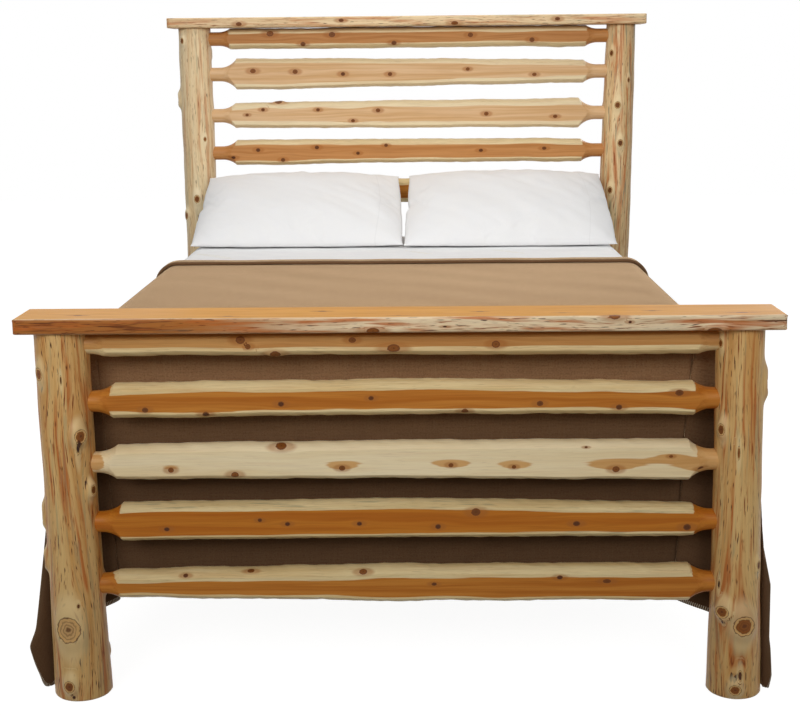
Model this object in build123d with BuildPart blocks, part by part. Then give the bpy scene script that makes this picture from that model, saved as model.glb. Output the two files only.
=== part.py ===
from build123d import *
import os
from math import atan, cos, degrees, radians, sin, sqrt

# Rustic queen-size log bed of peeled cedar, made up with its bedding.
# Frame: +Z up, floor at Z = 0, footboard towards -Y, headboard towards +Y, origin at the
# middle of the floor area that the bed covers. Millimetres.

os.makedirs("parts", exist_ok=True)

# ---------------------------------------------------------------- driving sizes
MATTRESS_WIDTH = 1524          # queen mattress, 60 x 80 in
MATTRESS_LENGTH = 2032
MATTRESS_THICKNESS = 288
FOUNDATION_HEIGHT = 215
FOUNDATION_MARGIN = 3          # the foundation is this much smaller each side
SLAT_TOP = 371                 # floor to the top of the slats

FOOT_HEIGHT = 946              # floor to the top of the footboard cap
HEAD_HEIGHT = 1687             # floor to the top of the headboard cap
POST_RADIUS = 61               # peeled log posts, nominal
BUTT_HEIGHT = 240              # a post's flared butt ends here
END_GAP = 30.5                 # mattress end to the face of a nominal post

CAP_THICKNESS = 36.5
CAP_DEPTH = 156
CAP_OVERHANG = 93              # post centre to the end of the cap
CAP_ARRIS = 4                  # bevel on the cap's sawn corners
CAP_WANE = 9                   # bevel left by the bark side, under the natural front edge

SIDE_RAIL_THICKNESS = 60
SIDE_RAIL_HEIGHT = 140
SIDE_RAIL_BOTTOM = 300
SIDE_GAP = 5                   # mattress side to the inner face of a side rail
SEAT_INSET = 46                # post centre to the flat seat cut for a side rail
SEAT_CLEARANCE = 1.5           # beside the side rail's end in its seat
SEAT_HEADROOM = 6              # above and below the side rail's end, to hook it in

RAIL_THICKNESS = 66            # log rails are sawn flat to this, front and back
RAIL_LOG_RADIUS = 44           # smallest log that the rails are sawn from
TENON_RADIUS = 25.4            # 2 in round tenons
TENON_CLEARANCE = 0.2          # glue line round a tenon
TENON_END_GAP = 2              # left at the bottom of a mortise
MORTISE_DEPTH = 76
CUTTER_CURVE = 78              # radius of the concave shoulder that the tenon cutter leaves
NECK_RADIUS = 36               # the shoulder has a section of its own where it is this wide
FOOT_SHOULDER_GAP = 6          # straight tenon in view, footboard
HEAD_SHOULDER_GAP = 30         # straight tenon in view, headboard

CAP_TENON_WIDTH = 44           # loose tenons between the posts and their cap
CAP_TENON_THICKNESS = 12
CAP_TENON_IN_POST = 40
CAP_TENON_IN_CAP = 22
CAP_TENON_CLEARANCE = 0.2
CAP_TENON_END_GAP = 1

PLATE_THICKNESS = 3            # steel knock-down brackets
PLATE_WIDTH = 36
PLATE_HEIGHT = 116
PLATE_GAP = 0.4                # between a hook plate and its post plate
HOOK_THICKNESS = 3
HOOK_REACH = 11
HOOK_DROP = 8
HOOK_NECK = 16
HOOK_LEAD = 3                  # bevel on a hook's upper corner
HOOK_SPACING = 60
SLOT_WIDTH = 4.4
SLOT_HEIGHT = 27
POCKET_WIDTH = 12
POCKET_DEPTH = 13
POCKET_HEIGHT = 100

LEDGER_WIDTH = 38
LEDGER_HEIGHT = 38
LEDGER_END_GAP = 40            # ledger end to the mattress end
SLAT_COUNT = 5
SLAT_WIDTH = 89
SLAT_THICKNESS = 19
SLAT_END_GAP = 2
SLAT_INSET = 196               # mattress end to the first slat's centre line
BEAM_WIDTH = 38
BEAM_HEIGHT = 89
BEAM_INSET = 91                # mattress end to the beam's end
LUMBER_ARRIS = 2               # bevel on the ledgers and the beam
LEG_INSET = 536                # mattress end to the first leg's middle
LEG_COUNT = 3
LEG_WIDTH = 60
GLIDE_WIDTH = 48
GLIDE_HEIGHT = 12

SOFT_GAP = 0.3                 # between soft layers
MATTRESS_CORNER = 60
MATTRESS_EDGE = 14
FOUNDATION_EDGE = 6
SHEET_THICKNESS = 1.7
SHEET_HEM = 26                 # mattress bottom to the fitted sheet's hem
BLANKET_THICKNESS = 8
BLANKET_HEAD = 292             # bed's middle to the blanket's turned-back edge
BLANKET_SIDE_DROP = 590        # blanket edge to hem, down the side
BLANKET_FLARE = 154            # how far the sides stand out at the floor
BLANKET_FOOT_HEM = 265         # floor to the hem at the foot
BLANKET_CORNER_HEM = 165       # floor to the hem beside the mattress corners
BLANKET_CORNER_WIDTH = 70      # along the foot, where the hem drops to the corners
BLANKET_OVER_RAIL = 6          # side rail's top to the blanket that crosses it
BLANKET_TIP = 4                # floor to the hanging side corners
BLANKET_TIP_LENGTH = 330       # along the side, where the hem drops to the floor
BLANKET_TIP_REACH = 105        # beyond the foot fold to the outside of a corner's tip
BLANKET_TIP_WIDTH = 45
BLANKET_TIP_TOP = 450          # floor to where a corner's outer edge leaves the foot fold
TURN_BACK_WIDTH = 95
TURN_BACK_HEIGHT = 22

PILLOW_WIDTH = 752
PILLOW_HALF_DEPTH = 245
PILLOW_HALF_LOFT = 88
PILLOW_END_CROWN = 130         # the arc that tapers a pillow to its ends would be this high
PILLOW_SEAM = 24               # thickness at the seams
PILLOW_TILT = 27
PILLOW_RISE = 99               # sheet to the pillow's middle
PILLOW_OVERHANG = 32.5         # mattress end to a pillow's back edge
PILLOW_SPLIT = 4               # between the two pillows
PILLOW_SHIFT = -12             # both pillows lie a little to the left

# ------------------------------------------------------------- derived positions
POST_X = MATTRESS_WIDTH / 2 + SIDE_GAP + SIDE_RAIL_THICKNESS / 2
POST_Y = MATTRESS_LENGTH / 2 + END_GAP + POST_RADIUS
FOOT_UNDERSIDE = FOOT_HEIGHT - CAP_THICKNESS
HEAD_UNDERSIDE = HEAD_HEIGHT - CAP_THICKNESS
CAP_LENGTH = 2 * (POST_X + CAP_OVERHANG)

# Each post is a natural log that leans a little. A log is (sideways shift of its heart at
# the floor, the same at its top, change of radius at the butt, change of radius above).
FOOT_LEFT_LOG = (7.5, 1, 8.5, 2.5)
FOOT_RIGHT_LOG = (17.5, 1.5, 5, -4)
HEAD_LEFT_LOG = (6, -1, 0, 0)
HEAD_RIGHT_LOG = (-17, 8, -3, -3)

# A log rail is (distance of its tenons below the cap, rise of its middle, its height at
# the left end, the middle and the right end).
FOOT_RAILS = [
    (34, 0, 57, 62, 66),
    (174, 7, 86, 84, 79),
    (324, 4, 83, 92, 98),
    (473, 6, 93, 95, 79),
    (630, 0, 68, 91, 90),
]
HEAD_RAILS = [
    (40, 0, 76, 77, 78),
    (171, 2, 118, 103, 84),
    (325, 1, 93, 104, 108),
    (466, 4, 97, 90, 86),
    (613, 0, 92, 92, 90),
]
HEAD_STRETCHER = (330, 0, 100, 96, 98)    # its tenons' height above the floor, then as above

# The caps' natural front edges, as the depth lost at even steps from left to right.
FOOT_CAP_EDGE = [3, 0, 2, 1, 0, 3, 1, 2, 4]
HEAD_CAP_EDGE = [2, 1, 0, 2, 1, 0, 2, 1, 2]


def log_centre(side, log, share):
    """X of a post's heart at a share of its height. side is -1 on the left, 1 on the right."""
    low_shift, high_shift = log[:2]
    return side * POST_X + low_shift + share * (high_shift - low_shift)


def inner_face(side, log, share):
    """X of a post's face towards the other post."""
    return log_centre(side, log, share) - side * (POST_RADIUS + log[3])


def cap_tenon_place(side, end, log):
    """(x, y) of a post's loose tenon, in the wood beyond the top rail's mortise."""
    return (log_centre(side, log, 1) + side * MORTISE_DEPTH / 2, end * POST_Y)


# ----------------------------------------------------------------------- posts
def make_post(name, side, end, top, log, mortise_heights):
    """A peeled log, bored for the rails' tenons and the cap's loose tenon, with a flat seat
    and a pocket cut for the side rail's bracket. end is -1 at the foot, 1 at the head."""
    post_y = end * POST_Y
    seat_y = end * (POST_Y - SEAT_INSET)
    rail_middle = SIDE_RAIL_BOTTOM + SIDE_RAIL_HEIGHT / 2
    low_shift, high_shift, butt_growth, growth = log
    foot = Vector(log_centre(side, log, 0), post_y, 0)
    heart = (Vector(log_centre(side, log, 1), post_y, top) - foot).normalized()
    above_butt = Plane(origin=foot + heart * BUTT_HEIGHT, z_dir=heart)
    flare = atan((butt_growth - growth) / BUTT_HEIGHT)
    with BuildPart() as post:
        with BuildSketch(above_butt):
            Circle(POST_RADIUS + growth)
        extrude(amount=top)
        with BuildSketch(above_butt):
            Circle(POST_RADIUS + growth)
        extrude(amount=-BUTT_HEIGHT - POST_RADIUS / 2, taper=-degrees(flare))
        split(bisect_by=Plane.XY, keep=Keep.TOP)
        split(bisect_by=Plane.XY.offset(top), keep=Keep.BOTTOM)

        for height in mortise_heights:
            bottom_x = inner_face(side, log, height / top) + side * MORTISE_DEPTH
            with BuildSketch(Plane.YZ.offset(bottom_x)):
                with Locations((post_y, height)):
                    Circle(TENON_RADIUS + TENON_CLEARANCE)
            extrude(amount=-side * 2 * MORTISE_DEPTH, mode=Mode.SUBTRACT)

        with BuildSketch(Plane.XY.offset(top)):
            with Locations(cap_tenon_place(side, end, log)):
                Rectangle(
                    CAP_TENON_THICKNESS + 2 * CAP_TENON_CLEARANCE,
                    CAP_TENON_WIDTH + 2 * CAP_TENON_CLEARANCE,
                )
        extrude(amount=-CAP_TENON_IN_POST, mode=Mode.SUBTRACT)

        with Locations((side * POST_X, seat_y - end * POST_RADIUS, rail_middle)):
            Box(
                SIDE_RAIL_THICKNESS + 2 * SEAT_CLEARANCE,
                2 * POST_RADIUS,
                SIDE_RAIL_HEIGHT + 2 * SEAT_HEADROOM,
                mode=Mode.SUBTRACT,
            )
        with Locations((side * POST_X, seat_y, rail_middle)):
            Box(POCKET_WIDTH, 2 * POCKET_DEPTH, POCKET_HEIGHT, mode=Mode.SUBTRACT)
    post.part.label = name
    export_step(post.part, f"parts/{name}.step")


foot_tenon_heights = [FOOT_UNDERSIDE - rail[0] for rail in FOOT_RAILS]
head_tenon_heights = [HEAD_UNDERSIDE - rail[0] for rail in HEAD_RAILS] + [HEAD_STRETCHER[0]]

make_post("footboard_post_left", -1, -1, FOOT_UNDERSIDE, FOOT_LEFT_LOG, foot_tenon_heights)
make_post("footboard_post_right", 1, -1, FOOT_UNDERSIDE, FOOT_RIGHT_LOG, foot_tenon_heights)
make_post("headboard_post_left", -1, 1, HEAD_UNDERSIDE, HEAD_LEFT_LOG, head_tenon_heights)
make_post("headboard_post_right", 1, 1, HEAD_UNDERSIDE, HEAD_RIGHT_LOG, head_tenon_heights)


# ------------------------------------------------------------------- log rails
def tenon_section(x, y, z):
    """A round tenon's section, in four arcs that match the sides of a sawn section."""
    corner = TENON_RADIUS * cos(radians(45))
    with BuildSketch(Plane.YZ.offset(x)) as section:
        with BuildLine():
            ThreePointArc((y - corner, z - corner), (y - TENON_RADIUS, z), (y - corner, z + corner))
            ThreePointArc((y - corner, z + corner), (y, z + TENON_RADIUS), (y + corner, z + corner))
            ThreePointArc((y + corner, z + corner), (y + TENON_RADIUS, z), (y + corner, z - corner))
            ThreePointArc((y + corner, z - corner), (y, z - TENON_RADIUS), (y - corner, z - corner))
        make_face()
    return section.sketch.face()


def sawn_section(x, y, z, height, log_radius):
    """A log sawn flat front and back, with its natural round edge above and below."""
    half = RAIL_THICKNESS / 2
    sag = log_radius - sqrt(log_radius**2 - half**2)
    top, bottom = z + height / 2, z - height / 2
    with BuildSketch(Plane.YZ.offset(x)) as section:
        with BuildLine():
            Line((y - half, bottom + sag), (y - half, top - sag))
            ThreePointArc((y - half, top - sag), (y, top), (y + half, top - sag))
            Line((y + half, top - sag), (y + half, bottom + sag))
            ThreePointArc((y + half, bottom + sag), (y, bottom), (y - half, bottom + sag))
        make_face()
    return section.sketch.face()


def shoulder_run(radius):
    """How far along the rail the cutter's concave curve takes to open out to a radius."""
    return sqrt(CUTTER_CURVE**2 - (CUTTER_CURVE + TENON_RADIUS - radius) ** 2)


def make_rail(name, y, z, shape, left_face, right_face, shoulder_gap):
    """A log rail whose ends are turned by a tenon cutter: round tenons with concave
    shoulders, which run out on the sawn faces and the round edges. A thin log has no neck."""
    rise, left_height, middle_height, right_height = shape
    left_end = left_face - MORTISE_DEPTH + TENON_END_GAP
    right_end = right_face + MORTISE_DEPTH - TENON_END_GAP
    left_shoulder = left_face + shoulder_gap
    right_shoulder = right_face - shoulder_gap

    sections = [tenon_section(left_end, y, z), tenon_section(left_shoulder, y, z)]
    if left_height > 2 * NECK_RADIUS:
        x = left_shoulder + shoulder_run(NECK_RADIUS)
        sections.append(sawn_section(x, y, z, 2 * NECK_RADIUS, NECK_RADIUS))
    for x, middle, height in (
        (left_shoulder + shoulder_run(max(left_height / 2, RAIL_LOG_RADIUS)), z, left_height),
        ((left_shoulder + right_shoulder) / 2, z + rise, middle_height),
        (right_shoulder - shoulder_run(max(right_height / 2, RAIL_LOG_RADIUS)), z, right_height),
    ):
        sections.append(sawn_section(x, y, middle, height, max(height / 2, RAIL_LOG_RADIUS)))
    if right_height > 2 * NECK_RADIUS:
        x = right_shoulder - shoulder_run(NECK_RADIUS)
        sections.append(sawn_section(x, y, z, 2 * NECK_RADIUS, NECK_RADIUS))
    sections += [tenon_section(right_shoulder, y, z), tenon_section(right_end, y, z)]

    with BuildPart() as rail:
        for near, far in zip(sections, sections[1:]):
            loft([near, far], ruled=True)
    rail.part.label = name
    export_step(rail.part, f"parts/{name}.step")


for number, (drop, *shape) in enumerate(FOOT_RAILS, 1):
    height = FOOT_UNDERSIDE - drop
    make_rail(
        f"footboard_rail_{number}", -POST_Y, height, shape,
        inner_face(-1, FOOT_LEFT_LOG, height / FOOT_UNDERSIDE),
        inner_face(1, FOOT_RIGHT_LOG, height / FOOT_UNDERSIDE),
        FOOT_SHOULDER_GAP,
    )

head_shapes = [rail[1:] for rail in HEAD_RAILS] + [HEAD_STRETCHER[1:]]
for number, (height, shape) in enumerate(zip(head_tenon_heights, head_shapes), 1):
    make_rail(
        f"headboard_rail_{number}", POST_Y, height, shape,
        inner_face(-1, HEAD_LEFT_LOG, height / HEAD_UNDERSIDE),
        inner_face(1, HEAD_RIGHT_LOG, height / HEAD_UNDERSIDE),
        HEAD_SHOULDER_GAP,
    )


# ------------------------------------------------------- caps and loose tenons
FOOT_CAP_TENONS = [
    cap_tenon_place(-1, -1, FOOT_LEFT_LOG), cap_tenon_place(1, -1, FOOT_RIGHT_LOG),
]
HEAD_CAP_TENONS = [
    cap_tenon_place(-1, 1, HEAD_LEFT_LOG), cap_tenon_place(1, 1, HEAD_RIGHT_LOG),
]


def make_cap(name, end, underside, edge_loss, tenon_places):
    """A sawn plank with a natural front edge, mortised below for the posts' loose tenons."""
    front, back = end * POST_Y - CAP_DEPTH / 2, end * POST_Y + CAP_DEPTH / 2
    step = CAP_LENGTH / (len(edge_loss) - 1)
    edge = [(-CAP_LENGTH / 2 + i * step, front + loss) for i, loss in enumerate(edge_loss)]
    with BuildPart() as cap:
        with BuildSketch(Plane.XY.offset(underside)):
            with BuildLine():
                Polyline(*edge, (CAP_LENGTH / 2, back), (-CAP_LENGTH / 2, back), close=True)
            make_face()
        extrude(amount=CAP_THICKNESS)
        upright = cap.edges().filter_by(Axis.Z)
        sawn_corners = upright.group_by(Axis.X)[0] + upright.group_by(Axis.X)[-1]
        chamfer(sawn_corners, CAP_ARRIS)
        underside_edges = cap.faces().sort_by(Axis.Z)[0].edges()
        wane = underside_edges.filter_by(
            lambda edge: edge.center().Y < end * POST_Y - CAP_DEPTH / 4
            and abs(edge.center().X) < CAP_LENGTH / 2 - CAP_ARRIS
        )
        chamfer(wane, CAP_WANE)
        with BuildSketch(Plane.XY.offset(underside)):
            with Locations(*tenon_places):
                Rectangle(
                    CAP_TENON_THICKNESS + 2 * CAP_TENON_CLEARANCE,
                    CAP_TENON_WIDTH + 2 * CAP_TENON_CLEARANCE,
                )
        extrude(amount=CAP_TENON_IN_CAP, mode=Mode.SUBTRACT)
    cap.part.label = name
    export_step(cap.part, f"parts/{name}.step")


make_cap("footboard_cap", -1, FOOT_UNDERSIDE, FOOT_CAP_EDGE, FOOT_CAP_TENONS)
make_cap("headboard_cap", 1, HEAD_UNDERSIDE, HEAD_CAP_EDGE, HEAD_CAP_TENONS)

with BuildPart() as cap_tenons:
    for underside, places in ((FOOT_UNDERSIDE, FOOT_CAP_TENONS), (HEAD_UNDERSIDE, HEAD_CAP_TENONS)):
        with BuildSketch(Plane.XY.offset(underside - CAP_TENON_IN_POST + CAP_TENON_END_GAP)):
            with Locations(*places):
                Rectangle(CAP_TENON_THICKNESS, CAP_TENON_WIDTH)
        extrude(amount=CAP_TENON_IN_POST + CAP_TENON_IN_CAP - 2 * CAP_TENON_END_GAP)
cap_tenons.part.label = "cap_tenons"
export_step(cap_tenons.part, "parts/cap_tenons.step")


# ------------------------------------------------------ side rails and brackets
SEAT_Y = POST_Y - SEAT_INSET
RAIL_END_Y = SEAT_Y - PLATE_THICKNESS - PLATE_GAP
RAIL_MIDDLE = SIDE_RAIL_BOTTOM + SIDE_RAIL_HEIGHT / 2

for side, word in ((-1, "left"), (1, "right")):
    half = SIDE_RAIL_THICKNESS / 2
    log_radius = SIDE_RAIL_HEIGHT / 2
    sag = log_radius - sqrt(log_radius**2 - half**2)
    low, high = SIDE_RAIL_BOTTOM, SIDE_RAIL_BOTTOM + SIDE_RAIL_HEIGHT
    inner, outer = side * POST_X - half, side * POST_X + half
    with BuildPart() as side_rail:
        with BuildSketch(Plane.XZ.offset(-RAIL_END_Y)):
            with BuildLine():
                Line((inner, low + sag), (inner, high - sag))
                ThreePointArc((inner, high - sag), (side * POST_X, high), (outer, high - sag))
                Line((outer, high - sag), (outer, low + sag))
                ThreePointArc((outer, low + sag), (side * POST_X, low), (inner, low + sag))
            make_face()
        extrude(amount=2 * RAIL_END_Y)
        with Locations(
            (side * POST_X, RAIL_END_Y, RAIL_MIDDLE), (side * POST_X, -RAIL_END_Y, RAIL_MIDDLE)
        ):
            Box(PLATE_WIDTH, 2 * PLATE_THICKNESS, PLATE_HEIGHT, mode=Mode.SUBTRACT)
    side_rail.part.label = f"side_rail_{word}"
    export_step(side_rail.part, f"parts/side_rail_{word}.step")

hook_levels = [RAIL_MIDDLE + level * HOOK_SPACING / 2 for level in (-1, 1)]

for end, place in ((-1, "foot"), (1, "head")):
    for side, word in ((-1, "left"), (1, "right")):
        plate_x = side * POST_X
        hook_face = end * RAIL_END_Y
        post_face = end * (SEAT_Y - PLATE_THICKNESS)
        behind_post_plate = end * (SEAT_Y + PLATE_GAP)
        tip = hook_face + end * HOOK_REACH

        # Hook plate, let in flush into the end of the side rail.
        with BuildPart() as hook_plate:
            with BuildSketch(Plane.XZ.offset(-hook_face)):
                with Locations((plate_x, RAIL_MIDDLE)):
                    Rectangle(PLATE_WIDTH, PLATE_HEIGHT)
            extrude(amount=end * PLATE_THICKNESS)
            for level in hook_levels:
                with BuildSketch(Plane.YZ.offset(plate_x - HOOK_THICKNESS / 2)):
                    with BuildLine():
                        Polyline(
                            (hook_face, level),
                            (hook_face, level + HOOK_NECK),
                            (tip - end * HOOK_LEAD, level + HOOK_NECK),
                            (tip, level + HOOK_NECK - HOOK_LEAD),
                            (tip, level - HOOK_DROP),
                            (behind_post_plate, level - HOOK_DROP),
                            (behind_post_plate, level),
                            close=True,
                        )
                    make_face()
                extrude(amount=HOOK_THICKNESS)
        hook_plate.part.label = f"hook_plate_{place}_{word}"
        export_step(hook_plate.part, f"parts/hook_plate_{place}_{word}.step")

        # Post plate, on the flat seat of the post, with a slot for each hook.
        with BuildPart() as post_plate:
            with BuildSketch(Plane.XZ.offset(-post_face)):
                with Locations((plate_x, RAIL_MIDDLE)):
                    Rectangle(PLATE_WIDTH, PLATE_HEIGHT)
                for level in hook_levels:
                    slot_bottom = level - PLATE_GAP
                    with Locations((plate_x, slot_bottom + SLOT_HEIGHT / 2)):
                        Rectangle(SLOT_WIDTH, SLOT_HEIGHT, mode=Mode.SUBTRACT)
            extrude(amount=-end * PLATE_THICKNESS)
        post_plate.part.label = f"post_plate_{place}_{word}"
        export_step(post_plate.part, f"parts/post_plate_{place}_{word}.step")


# --------------------------------------------------- ledgers, slats and support
LEDGER_TOP = SLAT_TOP - SLAT_THICKNESS
INNER_FACE_X = POST_X - SIDE_RAIL_THICKNESS / 2

for side, word in ((-1, "left"), (1, "right")):
    with BuildPart(Plane.XY.offset(LEDGER_TOP - LEDGER_HEIGHT)) as ledger:
        with Locations((side * (INNER_FACE_X - LEDGER_WIDTH / 2), 0)):
            Box(
                LEDGER_WIDTH, MATTRESS_LENGTH - 2 * LEDGER_END_GAP, LEDGER_HEIGHT,
                align=(Align.CENTER, Align.CENTER, Align.MIN),
            )
        chamfer(ledger.edges().filter_by(Axis.Y), LUMBER_ARRIS)
    ledger.part.label = f"ledger_{word}"
    export_step(ledger.part, f"parts/ledger_{word}.step")

slat_spread = MATTRESS_LENGTH - 2 * SLAT_INSET
for number in range(SLAT_COUNT):
    slat_y = -slat_spread / 2 + number * slat_spread / (SLAT_COUNT - 1)
    with BuildPart(Plane.XY.offset(LEDGER_TOP)) as slat:
        with Locations((0, slat_y)):
            Box(
                2 * (INNER_FACE_X - SLAT_END_GAP), SLAT_WIDTH, SLAT_THICKNESS,
                align=(Align.CENTER, Align.CENTER, Align.MIN),
            )
    slat.part.label = f"slat_{number + 1}"
    export_step(slat.part, f"parts/slat_{number + 1}.step")

with BuildPart(Plane.XY.offset(LEDGER_TOP - BEAM_HEIGHT)) as centre_beam:
    Box(
        BEAM_WIDTH, MATTRESS_LENGTH - 2 * BEAM_INSET, BEAM_HEIGHT,
        align=(Align.CENTER, Align.CENTER, Align.MIN),
    )
    chamfer(centre_beam.edges().filter_by(Axis.Y), LUMBER_ARRIS)
centre_beam.part.label = "centre_beam"
export_step(centre_beam.part, "parts/centre_beam.step")

leg_spread = MATTRESS_LENGTH - 2 * LEG_INSET
leg_places = [
    (0, -leg_spread / 2 + number * leg_spread / (LEG_COUNT - 1)) for number in range(LEG_COUNT)
]
for number, place in enumerate(leg_places, 1):
    with BuildPart(Plane.XY.offset(GLIDE_HEIGHT)) as leg:
        with Locations(place):
            Box(
                LEG_WIDTH, LEG_WIDTH, LEDGER_TOP - BEAM_HEIGHT - GLIDE_HEIGHT,
                align=(Align.CENTER, Align.CENTER, Align.MIN),
            )
        chamfer(leg.edges().filter_by(Axis.Z), LUMBER_ARRIS)
    leg.part.label = f"centre_leg_{number}"
    export_step(leg.part, f"parts/centre_leg_{number}.step")

with BuildPart() as leg_glides:
    with Locations(*leg_places):
        Box(
            GLIDE_WIDTH, GLIDE_WIDTH, GLIDE_HEIGHT,
            align=(Align.CENTER, Align.CENTER, Align.MIN),
        )
leg_glides.part.label = "leg_glides"
export_step(leg_glides.part, "parts/leg_glides.step")


# ------------------------------------------------------------------ soft goods
FOUNDATION_TOP = SLAT_TOP + FOUNDATION_HEIGHT
MATTRESS_TOP = FOUNDATION_TOP + MATTRESS_THICKNESS


def soft_block(low, high, grow, corner, edge, mode=Mode.ADD):
    """A box as wide and long as the mattress plus grow each side, with rounded corners and
    its top edge eased off."""
    with BuildSketch(Plane.XY.offset(low)) as outline:
        RectangleRounded(MATTRESS_WIDTH + 2 * grow, MATTRESS_LENGTH + 2 * grow, corner)
    block = extrude(outline.sketch, amount=high - low, mode=Mode.PRIVATE)
    block = block.chamfer(edge, None, block.faces().sort_by(Axis.Z)[-1].edges())
    add(block, mode=mode)


with BuildPart() as foundation:
    soft_block(SLAT_TOP, FOUNDATION_TOP, -FOUNDATION_MARGIN, MATTRESS_CORNER, FOUNDATION_EDGE)
foundation.part.label = "foundation"
export_step(foundation.part, "parts/foundation.step")

with BuildPart() as mattress:
    soft_block(FOUNDATION_TOP, MATTRESS_TOP, 0, MATTRESS_CORNER, MATTRESS_EDGE)
mattress.part.label = "mattress"
export_step(mattress.part, "parts/mattress.step")

SHEET_TOP = MATTRESS_TOP + SOFT_GAP + SHEET_THICKNESS
SHEET_GROW = SOFT_GAP + SHEET_THICKNESS
with BuildPart() as fitted_sheet:
    soft_block(
        FOUNDATION_TOP + SHEET_HEM, SHEET_TOP,
        SHEET_GROW, MATTRESS_CORNER + SHEET_GROW, MATTRESS_EDGE,
    )
    soft_block(
        FOUNDATION_TOP, MATTRESS_TOP + SOFT_GAP,
        SOFT_GAP, MATTRESS_CORNER + SOFT_GAP, MATTRESS_EDGE, Mode.SUBTRACT,
    )
fitted_sheet.part.label = "fitted_sheet"
export_step(fitted_sheet.part, "parts/fitted_sheet.step")

# The blanket lies on the sheet, hangs straight down at the foot between the mattress and
# the posts, and stands out at the sides, outside the side rails. It crosses a side rail
# near each foot post, and its corners there hang almost to the floor.
BLANKET_LOW = SHEET_TOP + SOFT_GAP
BLANKET_TOP = BLANKET_LOW + BLANKET_THICKNESS
BLANKET_X = MATTRESS_WIDTH / 2 + SHEET_GROW + SOFT_GAP + BLANKET_THICKNESS
BLANKET_FOOT = -(MATTRESS_LENGTH / 2 + SHEET_GROW + SOFT_GAP + BLANKET_THICKNESS)
slope = BLANKET_FLARE / BLANKET_TOP
slant = sqrt(1 + slope**2)          # slanted length for each millimetre of height


def side_x(z):
    """X of the right side drop's outer face at a height."""
    return BLANKET_X + (BLANKET_TOP - z) * slope


with BuildPart() as blanket:
    with BuildSketch(Plane.XY.offset(BLANKET_LOW)):
        with Locations((0, (BLANKET_HEAD + BLANKET_FOOT) / 2)):
            Rectangle(2 * BLANKET_X, BLANKET_HEAD - BLANKET_FOOT)
    extrude(amount=BLANKET_THICKNESS)

    with BuildSketch(Plane.YZ.offset(-BLANKET_X)):
        back = BLANKET_HEAD - TURN_BACK_WIDTH
        with BuildLine():
            Line((BLANKET_HEAD, BLANKET_TOP), (back, BLANKET_TOP))
            ThreePointArc(
                (back, BLANKET_TOP),
                (BLANKET_HEAD - TURN_BACK_WIDTH / 2, BLANKET_TOP + TURN_BACK_HEIGHT),
                (BLANKET_HEAD, BLANKET_TOP),
            )
        make_face()
    extrude(amount=2 * BLANKET_X)

    # In a side drop's own plane, local X runs to the head and local Y is the distance up
    # the slope on one side of the bed and down it on the other.
    for side in (-1, 1):
        side_plane = Plane(
            origin=(side * BLANKET_X, 0, BLANKET_TOP), x_dir=(0, 1, 0), z_dir=(-side, 0, -slope),
        )
        with BuildSketch(side_plane):
            tip_drop = side * (BLANKET_TOP - BLANKET_TIP) * slant
            with BuildLine():
                Polyline(
                    (BLANKET_HEAD, 0),
                    (BLANKET_HEAD, side * BLANKET_SIDE_DROP),
                    (BLANKET_FOOT + BLANKET_TIP_LENGTH, side * BLANKET_SIDE_DROP),
                    (BLANKET_FOOT - BLANKET_TIP_REACH + BLANKET_TIP_WIDTH, tip_drop),
                    (BLANKET_FOOT - BLANKET_TIP_REACH, tip_drop),
                    (BLANKET_FOOT, side * (BLANKET_TOP - BLANKET_TIP_TOP) * slant),
                    (BLANKET_FOOT, 0),
                    close=True,
                )
            make_face()
        extrude(amount=BLANKET_THICKNESS)

    with BuildSketch(Plane.XZ.offset(-BLANKET_FOOT)):
        inside = MATTRESS_WIDTH / 2
        over_rail = SIDE_RAIL_BOTTOM + SIDE_RAIL_HEIGHT + BLANKET_OVER_RAIL
        half_thick = BLANKET_THICKNESS / 2
        right = [
            (inside - BLANKET_CORNER_WIDTH, BLANKET_FOOT_HEM),
            (inside, BLANKET_CORNER_HEM),
            (inside, over_rail),
            (side_x(over_rail) - half_thick, over_rail),
            (side_x(BLANKET_TOP) - half_thick, BLANKET_TOP - half_thick),
        ]
        with BuildLine():
            Polyline(*right, *[(-x, z) for x, z in reversed(right)], close=True)
        make_face()
    extrude(amount=-BLANKET_THICKNESS)
blanket.part.label = "blanket"
export_step(blanket.part, "parts/blanket.step")

# The pillows lean back on the headboard's rails, pressed flat where they lie on the sheet.
# A pillow is crowned along its width and its depth, between seams with a little height.
tilt = radians(PILLOW_TILT)
pillow_y = MATTRESS_LENGTH / 2 + PILLOW_OVERHANG - PILLOW_HALF_DEPTH * cos(tilt)
pillow_z = SHEET_TOP + PILLOW_RISE


def crowned(plane, half_length, half_height):
    """A profile with a round top and bottom, as high at its ends as a seam."""
    end = PILLOW_SEAM / 2
    with BuildSketch(plane) as profile:
        with BuildLine():
            Line((-half_length, -end), (-half_length, end))
            ThreePointArc((-half_length, end), (0, half_height), (half_length, end))
            Line((half_length, end), (half_length, -end))
            ThreePointArc((half_length, -end), (0, -half_height), (-half_length, -end))
        make_face()
    return profile.sketch


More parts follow.
